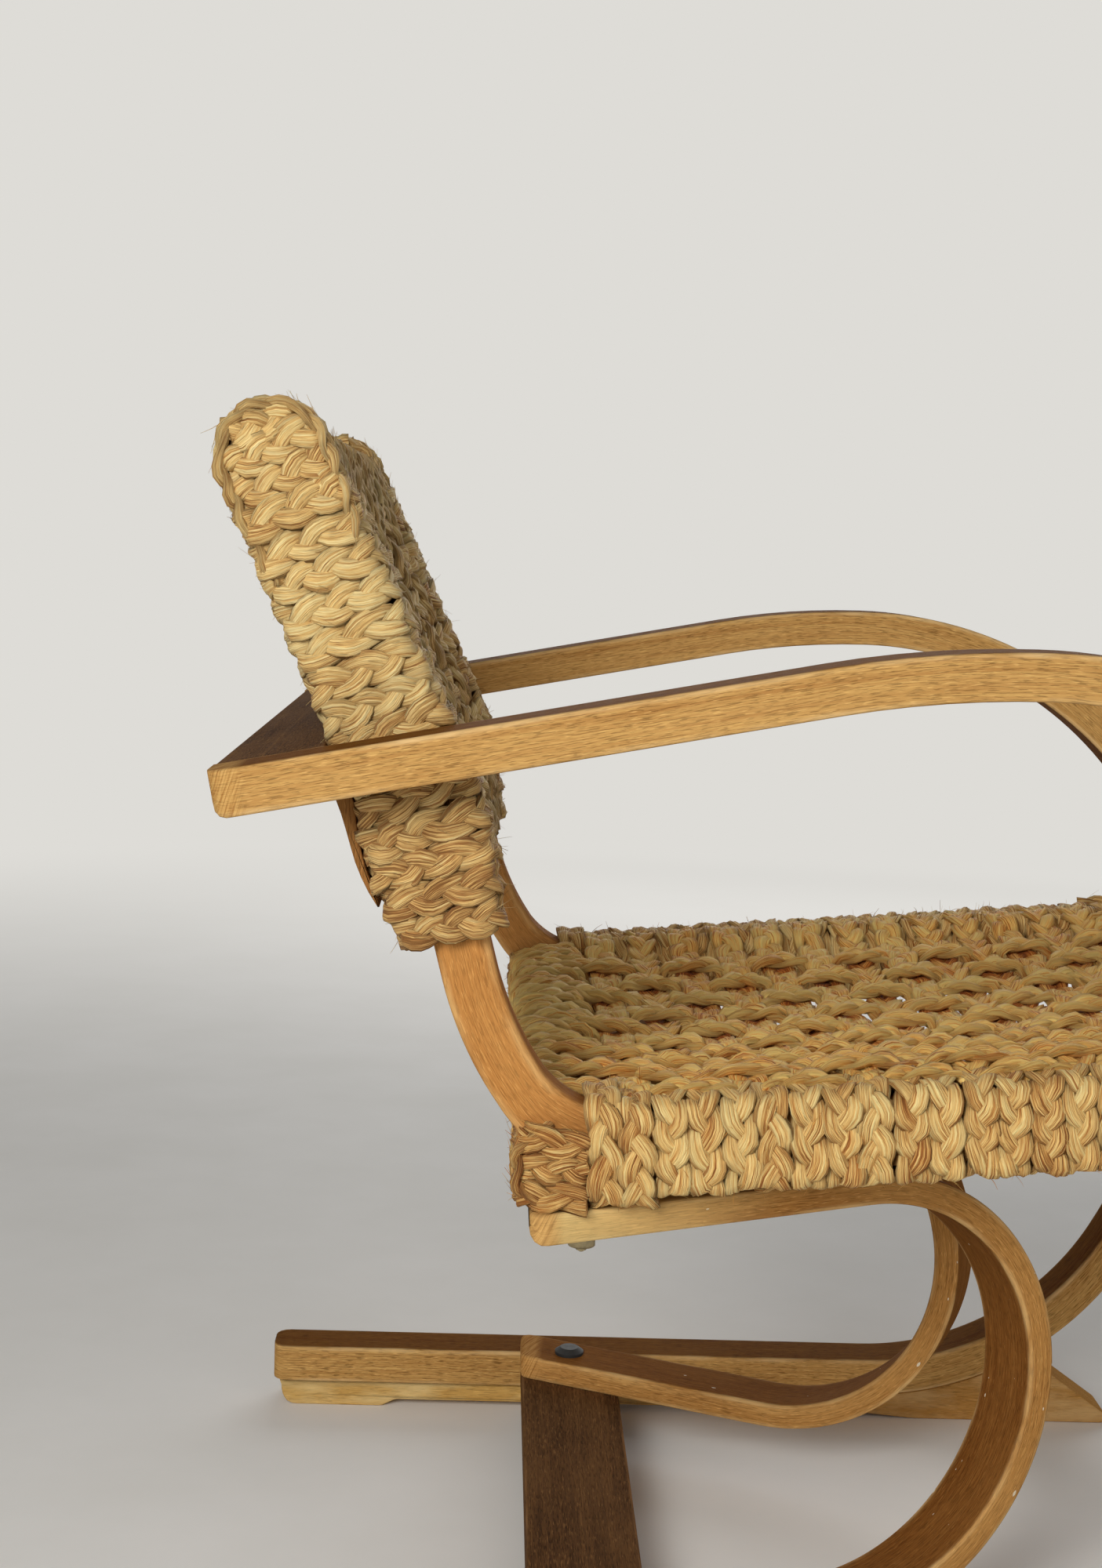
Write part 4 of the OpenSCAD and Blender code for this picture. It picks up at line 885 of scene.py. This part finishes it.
def turn(name, side, lo, hi, at, along, brown_and_shade):
    """One turn of plait round a side member; at(y, v, shift) places it."""
    mid = (lo + hi) / 2
    ring = fillet([(-HALF_IN, mid), (-HALF_IN, lo), (-HALF_OUT, lo), (-HALF_OUT, hi), (-HALF_IN, hi),
                   (-HALF_IN, mid)], 7)
    lean = np.linspace(rng.normal(0, 0.8), rng.normal(0, 0.8), len(ring))[:, None]
    ring = resample(np.concatenate([ring, lean], 1), STEP)
    braid(name, at(-side * ring[:, 0], ring[:, 1], ring[:, 2]), side * -along, 7,
          period=rng.uniform(48, 64), brown_and_shade=brown_and_shade + rng.uniform(-0.22, 0.22))


for s in FIRST_TURN + np.arange(SEAT_TURNS) * SEAT_PITCH:
    for side, hand in BOTH:
        turn(hand + "_seat_winding", side, seat_lo(s), seat_hi(s), lambda y, v, d: seat_pt(s + d, y, v),
             SEAT_ALONG, 0.35)
for s in S_WRAP + 9 + BACK_PITCH * np.arange(BACK_TURNS):
    half = float(depth_at(s)) / 2 + ROPE_MID
    # Browner below the arm, partly painted shade under it.
    brown_and_shade = float(np.interp(s, [S_FULL + 10, S_FULL + 50], [0.62, 0.12]))
    # Low down the turns stand further back than the upright, against the cleat.
    bulge = float(np.interp(CLEAT_S - s, [20, 38, 48, 57, 67, 90, 105, 117], [0, 3, 5.5, 7.5, 9, 9.5, 8, 6]))
    for side, hand in BOTH:
        turn(hand + "_back_winding", side, -half - bulge, half, lambda y, f, d: back_pt(s - d, y, f),
             -up_back(s), brown_and_shade)

# Panels: belts cross from side to side, and rows run the other way over and under them
SEAT_MID, BACK_MID = (FIRST_TURN + LAST_TURN) / 2, (S_WRAP + S_END) / 2
REAR_S = S_BEND + (BEND_X - HEEL_X) / cos(TILT)
PANEL_V, EDGE_V = 18.2, 23.0
SEAT_ROWS = np.array([147.0, 105.0, 63.0, 21.0, -21.0, -63.0, -105.0, -131.0, -157.0, -183.0])
SEAT_BELTS = np.array([411 - 32.3 * k + 0.19 * k * k for k in range(13)])
BACK_ROWS = 189.0 - 42.0 * np.arange(10)
BACK_BELTS = LOW_S + 20 + 31.0 * np.arange(7)


def sag(deep, from_mid, half, y):
    """How deep a panel hangs at a place off its middle."""
    widthwise = np.clip(1 - (y / HALF_Y) ** 2, 0, 1) ** 1.2
    return deep * widthwise * np.clip(1 - (np.abs(from_mid) / half) ** 4, 0, 1)


def seat_sag(s, y):
    return sag(SEAT_SAG, s - SEAT_MID, 212, y)


def back_sag(s, y):
    return sag(BACK_SAG, s - BACK_MID, 136, y)


def belt(name, k, rows, at, along, hi, panel, amp, hang, brown_and_shade):
    """One plait across the chair, over and under the rows, its ends on the side members."""
    y = np.linspace(-HALF_OUT + 12, HALF_OUT - 12, 190)
    j = np.interp(-y, -rows, np.arange(len(rows)))
    beyond = np.clip((np.abs(y - np.clip(y, rows[-1], rows[0]))) / 25, 0, 1)
    wave = -amp * np.cos(pi * (j - k)) * (1 - beyond)
    edge = smooth((HALF_IN - 6 - np.abs(y)) / 26)
    v = (hi - 3 * np.clip((np.abs(y) - 232) / 12, 0, 1)) * (1 - edge) + (panel + wave) * edge - hang(y)
    flat = resample(np.stack([y, v, wander(np.linspace(0, 480, len(y)), 60, 0.7)], -1), STEP)
    # Painted shade: a belt is browner where it runs under a row.
    under = np.clip(np.interp(flat[:, 0], y, -wave) / amp, 0, 1)
    braid(name, at(flat[:, 0], flat[:, 1], flat[:, 2]), along, 5, period=rng.uniform(50, 64),
          brown_and_shade=brown_and_shade + rng.uniform(-0.2, 0.2) + 1.2 * under, width=1.07)


for k, s in enumerate(SEAT_BELTS):
    belt("woven_seat", k, SEAT_ROWS, lambda y, v, d: seat_pt(s + d, y, v), SEAT_ALONG, 25.0, PANEL_V, 2.0,
         lambda y: seat_sag(s, y), 0.05)
for k, s in enumerate(BACK_BELTS):
    half = float(depth_at(s)) / 2 + ROPE_MID
    belt("woven_back", k, BACK_ROWS, lambda y, f, d: back_pt(s - d, y, f), -up_back(s), half + 0.8,
         half - 6.5, 2.8, lambda y: back_sag(s, y), 0.25)


def row_wave(s, belts, parity, up, down):
    """Height and crest of a row: long floats over every second belt, and short dives between."""
    order = np.argsort(belts)
    k = np.interp(s, belts[order], order.astype(float))
    d = np.abs((k - parity + 1) % 2 - 1)
    dip = smooth((d - 0.50) / 0.34)
    return (up - 1.0 * np.minimum(d / 0.50, 1) ** 2) * (1 - dip) - down * dip, 1 - 2 * dip


def fore_aft(name, flat, y, width, low=0.0, lift=2.1, high=2.8):
    """A plait that runs fore and aft; low is how far down in the weave it lies, 0 to 1."""
    more = [np.broadcast_to(np.asarray(a, float), (len(flat),))[:, None] for a in (width, low)]
    flat = resample(np.concatenate([flat] + more, 1), STEP)
    drift = wander(np.arange(len(flat)) * STEP, 40, 0.6)
    pts = np.stack([flat[:, 0], np.full(len(flat), y) + drift, flat[:, 1]], -1)
    period = rng.uniform(50, 62)
    # Painted shade: a row is browner where it lies low in the weave.
    brown_and_shade = (-0.05 if name == "woven_seat" else 0.1) + rng.uniform(-0.2, 0.2) + 1.1 * flat[:, 3]
    braid(name, pts, (0, -1, 0), 5, period, brown_and_shade, lift=lift, wide=4.6, high=high, width=flat[:, 2])


def row(name, y, ends, line, edge, crest, whole):
    """One row: round the first rail, over the panel, round the second; a short one stops inside."""
    first, last = ends
    a = fillet(first + [line[0], line[3]], 8)
    b = fillet([line[-4], line[-1]] + last, 8)
    if whole:
        width = 1.02 - edge * (0.05 - 0.09 * crest)
        low = edge * (0.5 - 0.5 * crest)
        fore_aft(name, np.concatenate([a, line[4:-4], b]), y,
                 np.concatenate([np.full(len(a), 0.95), width[4:-4], np.full(len(b), 0.95)]),
                 np.concatenate([np.zeros(len(a)), low[4:-4], np.zeros(len(b))]))
        return
    more, down = (0, (0.0, -15.0)) if name == "woven_seat" else (14, (-15.0, 0.0))
    n1, n2 = rng.integers(9, 12, 2) + more
    fore_aft(name, np.concatenate([a, line[4:n1], [line[n1 + 4] + down]]), y, 0.92)
    fore_aft(name, np.concatenate([[line[-n2 - 4] + down], line[-n2:-4], b]), y, 0.92)


def side_view(points):
    """The x and z of points."""
    return points[:, [0, 2]]


def seat_row(y, j, whole=True):
    """A row of the seat, from the rear rail's inside to the front rail's."""
    clear = GAP + 5.0
    s = np.linspace(REAR_S - 14, 16, 180)
    wave, crest = row_wave(s, SEAT_BELTS, j, 5.7, 6.2)
    edge = np.clip(np.minimum(s[0] - s, s - s[-1]) / 30, 0, 1)
    line = side_view(seat_pt(s, y, EDGE_V * (1 - edge) + (PANEL_V + wave) * edge - seat_sag(s, y)))
    inner, back, low = HEEL_X + CROSS + clear, HEEL_X - clear, HEEL_Z - clear
    rear = [(inner, HEEL_Z + 16), (inner, low), (back, low), (back, HEEL_Z + 33 + clear)]
    front = list(side_view(seat_pt([-clear, -clear, CROSS + clear, CROSS + clear], y,
                                   [EDGE_V, -RAIL_D / 2 - clear, -RAIL_D / 2 - clear, 4])))
    row("woven_seat", y, (rear, front), line, edge, crest, whole)


def back_row(y, j, whole=True):
    """A row of the back, from the bottom rail's rear to the top rail's."""
    s = np.linspace(S_WRAP + 4, S_END + 2, 150)
    half = depth_at(s) / 2 + ROPE_MID
    wave, crest = row_wave(s, BACK_BELTS, j, 6.2, 5.8)
    edge = np.clip(np.minimum(s - s[0], s[-1] - s) / 30, 0, 1)
    line = side_view(back_pt(s, y, (half - 1) * (1 - edge) + (half - 7.5 + wave) * edge - back_sag(s, y)))
    low = side_view(back_pt([LOW_S + 24, LOW_S + 19, LOW_S - 18, LOW_S - 18], y, [-2, -20, -20, 16]))
    high = side_view(back_pt([TOP_S + 18, TOP_S + 18, TOP_S - 19, TOP_S - 24], y, [16, -20, -20, -2]))
    row("woven_back", y, (list(low), list(high)), line, edge, crest, whole)


def between(rows):
    """Places for the short rows that cover the rails between the long ones."""
    y = np.concatenate([[206.0], rows, [-206.0]])
    out = []
    for a, b in zip(y[:-1], y[1:]):
        n = int(round((a - b) / 20)) - 1
        out += [a + (b - a) * (i + 1) / (n + 1) for i in range(n)]
    return out


for j, y in enumerate(SEAT_ROWS):
    seat_row(y, j)
for j, y in enumerate(BACK_ROWS):
    back_row(y, j)
for y in between(SEAT_ROWS) + [205.0, -205.0]:
    seat_row(y, 0, whole=False)
for y in between(BACK_ROWS) + [206.0, -206.0]:
    back_row(y, 0, whole=False)

# Two more rows lie on top of the near side rail, woven among the turns.
for i, y in enumerate((-213.0, -234.0)):
    s = np.linspace(S_BEND - 2, 22, 170)
    wave, crest = row_wave(s, SEAT_BELTS, i, 2.4, 2.6)
    v = np.interp(s, [0, S_BEND - 20, S_BEND], [0, 0, 1.5]) + 29.0 - 3.0 * i + wave
    fore_aft("woven_seat", side_view(seat_pt(s, 0, v)), y, 0.84 + 0.05 * crest, lift=1.5, high=2.4)


# Corners and tops
def laid(name, pts, side_vec, brown_and_shade, **sizes):
    """A short plait laid along a rounded line."""
    braid(name, resample(pts, STEP), side_vec, 8, rng.uniform(42, 54), brown_and_shade, **sizes)


def rear_corner(side):
    """Three plaits lie round the corner, and one more stands round it and holds them."""
    name = "rear_corner_wraps"
    x0 = HEEL_X - ROPE_MID
    for i, rise in enumerate((2.0, 3.0, 6.0)):
        z = HEEL_Z - 2.5 + i * 14.5
        flat = resample(fillet([(HEEL_X + 30, HALF_OUT + 0.8), (x0, HALF_OUT + 0.3), (x0, 206)], 12), STEP)
        zz = z + rise * np.clip((x0 + 22 - flat[:, 0]) / 30, -1, 1) * 0.6
        laid(name, np.stack([flat[:, 0], side * flat[:, 1], zz], -1), (0, 0, -side), 0.75, lat=5.2, wide=4.3)
    low = HEEL_Z - GAP - 4.5
    flat = fillet([(HEEL_X + 12, low), (HEEL_X - 6.5, low), (HEEL_X - 8.5, HEEL_Z + 24),
                   (HEEL_X + 10, HEEL_Z + 34)], 9)
    laid(name, np.stack([flat[:, 0], np.full(len(flat), side * (HALF_OUT - 4)), flat[:, 1]], -1), (0, -1, 0),
         0.8, lat=4.2, wide=3.8)


def front_corner(side):
    """Four plaits lie round the corner, and short ones close its top and underside."""
    name = "front_corner_wraps"
    for i in range(4):
        flat = resample(fillet([(CROSS + 6, HALF_OUT), (-ROPE_MID, HALF_OUT), (-ROPE_MID, 205)], 10), STEP)
        laid(name, seat_pt(flat[:, 0], side * flat[:, 1], RAIL_LOW + 8 + i * 12.6),
             (-side * sin(TILT), 0, side * cos(TILT)), 0.5, lat=5.0, wide=4.2)
    y = np.linspace(203, HALF_OUT - 1, 20)
    ease = 3 * np.clip((y - 244) / 12, 0, 1)
    for s in (4.5, 22.0):
        for v, up in ((24.0, 1), (RAIL_LOW + 0.3, -1)):
            laid(name, seat_pt(s, side * y, v - up * ease), up * side * SEAT_ALONG, 0.4)


def upright_top(side):
    """Plaits on edge go over the rounded end, and short flat ones close its two sides."""
    name = "back_end_wraps"
    for i in range(3):
        r = float(depth_at(S_END)) / 2 + GAP + (5.2 if i == 0 else 4.2)
        tail = 62 if i == 0 else 36
        ang = np.radians(np.linspace(-90, 90, 40))
        cap = np.stack([S_END + r * np.cos(ang), -r * np.sin(ang)], -1)
        flat = np.concatenate([[(S_END - tail, r - 4)], [(S_END - tail * 0.5, r - 0.5)], cap,
                               [(S_END - tail * 0.5, -r + 0.5)], [(S_END - tail, -r + 4)]])
        flat = resample(flat, STEP)
        laid(name, back_pt(flat[:, 0], side * (HALF_OUT - 4.0 - i * 17), flat[:, 1]), (0, 1, 0), 0.4,
             lat=5.0, wide=4.3)
    for ds, tilt in ((-29, 0.16), (-12, 0.10), (4, 0.05), (17, -0.06)):
        half = sqrt(max(24.5 ** 2 - max(ds, 0) ** 2, 100)) + (4 if ds < -20 else 0)
        f = np.linspace(-half, half, 24)
        y = HALF_OUT - 1.5 - 3.0 * (np.abs(f) / half) ** 3
        up = side * up_back(S_END)
        laid(name, back_pt(S_END + ds + tilt * f, side * y, f), up, 0.35)
        if ds > -20:
            laid(name, back_pt(S_END + ds - tilt * f, side * (HALF_IN - 3.5), f), -up, 0.35)


for side, _ in BOTH:
    rear_corner(side)
    front_corner(side)
    upright_top(side)

for name, build in builds.items():
    kind = kind_of(name)
    if name in ("woven_seat", "woven_back"):
        add_fuzz(build, fuzz[kind])
    look = weave_rope if name == "woven_seat" else back_rope if kind == "back" else seat_rope
    stand_for(build.make(name + "_plaits", look), kind + "_rope", name)

# CAD pieces that stay get the same materials
looks = {"ash": inner_ash, "pale_ash": pale, "dark_wood": dark_wood, "blackened_steel": black,
         "dull_steel": steel}
slots = {p["node"]: p["material_slot"] for p in frame["record"]["subparts"]}
for ob in list(scene.objects):
    look = looks.get(slots.get(ob.name))
    if look is not None and ob.type == "MESH" and not ob.hide_render:
        for sl in ob.material_slots:
            sl.material = look

# Floor and light
BACKDROP = srgb(222, 220, 215)
FADE_FROM, FADE_TO = 1.1, 3.4
FLOOR_HALF = 30


def seen_only(s):
    """1 for camera and glossy rays, 0 for the light that falls on the object."""
    path = s.node("LightPath").outputs
    return s.math("MAXIMUM", path["Is Camera Ray"], path["Is Glossy Ray"])


def floor_material():
    """A pale floor that fades into the backdrop's colour far from the chair."""
    material, s, bsdf = new_material("floor")
    place = s.node("TexCoord").outputs["Object"]
    tone = s.ramp(s.noise(place, (6, 6, 6), 5), (0.3, srgb(240, 238, 233)), (0.7, srgb(246, 244, 240)))
    s.fill(bsdf.inputs["Base Color"], tone)
    bsdf.inputs["Roughness"].default_value = 0.85
    bsdf.inputs["Specular IOR Level"].default_value = 0.2
    away = s.node("VectorMath", operation="LENGTH", Vector=place).outputs["Value"]
    fade = s.spread(away, 0, 1, FADE_FROM, FADE_TO, "SMOOTHSTEP")
    glow = s.node("Emission", Color=BACKDROP, Strength=1.0)
    s.blend(s.times(fade, seen_only(s)), bsdf.outputs[0], glow.outputs[0], "Material Output")
    return material


me = bpy.data.meshes.new("floor")
me.from_pydata([(x * FLOOR_HALF, y * FLOOR_HALF, 0) for x, y in ((-1, -1), (1, -1), (1, 1), (-1, 1))], [],
               [(0, 1, 2, 3)])
me.materials.append(floor_material())
floor = added("floor", me)


def area(name, loc, target, size, power, color=(1, 1, 1)):
    """A square lamp that looks at a target."""
    data = bpy.data.lights.new(name, "AREA")
    data.size = size
    data.energy = power
    data.color = color
    lamp = added(name, data)
    lamp.location = loc
    lamp.rotation_euler = Vector(np.array(target) - np.array(loc)).to_track_quat("-Z", "Y").to_euler()


area("key", (-0.9, -2.0, 1.35), (-0.1, 0, 0.45), 0.9, 38, (1.0, 0.985, 0.955))
area("fill", (2.2, -1.9, 1.0), (0, 0, 0.4), 2.0, 15)
area("back", (0.5, 2.7, 1.3), (0, 0, 0.4), 2.2, 26)

world = bpy.data.worlds.new("world")
scene.world = world
world.use_nodes = True
sky = Shader(world.node_tree)
light = sky.nodes["Background"]
light.inputs["Color"].default_value = grey(0.72)
light.inputs["Strength"].default_value = 0.18
seen = sky.node("Background", Color=BACKDROP, Strength=1.0)
sky.blend(seen_only(sky), light.outputs[0], seen.outputs[0], "World Output")

# Camera, solved from the photograph's straight edges
CAMERA_AT = (-0.208245, -1.3995, 0.6926)
CAMERA_TURNS = ((-1.568, "Z"), (-6.547, "X"), (-2.002, "Y"))
lens = bpy.data.cameras.new("camera")
lens.lens = 50
lens.sensor_fit = "VERTICAL"
lens.sensor_height = 36
camera = added("camera", lens)
axes = Matrix.Identity(3)
for degrees, about in CAMERA_TURNS:
    axes = axes @ Matrix.Rotation(radians(degrees), 3, about)
axes = axes @ Matrix(((1, 0, 0), (0, 0, -1), (0, 1, 0)))
camera.matrix_world = Matrix.Translation(CAMERA_AT) @ axes.to_4x4()
scene.camera = camera
scene.view_settings.view_transform = "Standard"
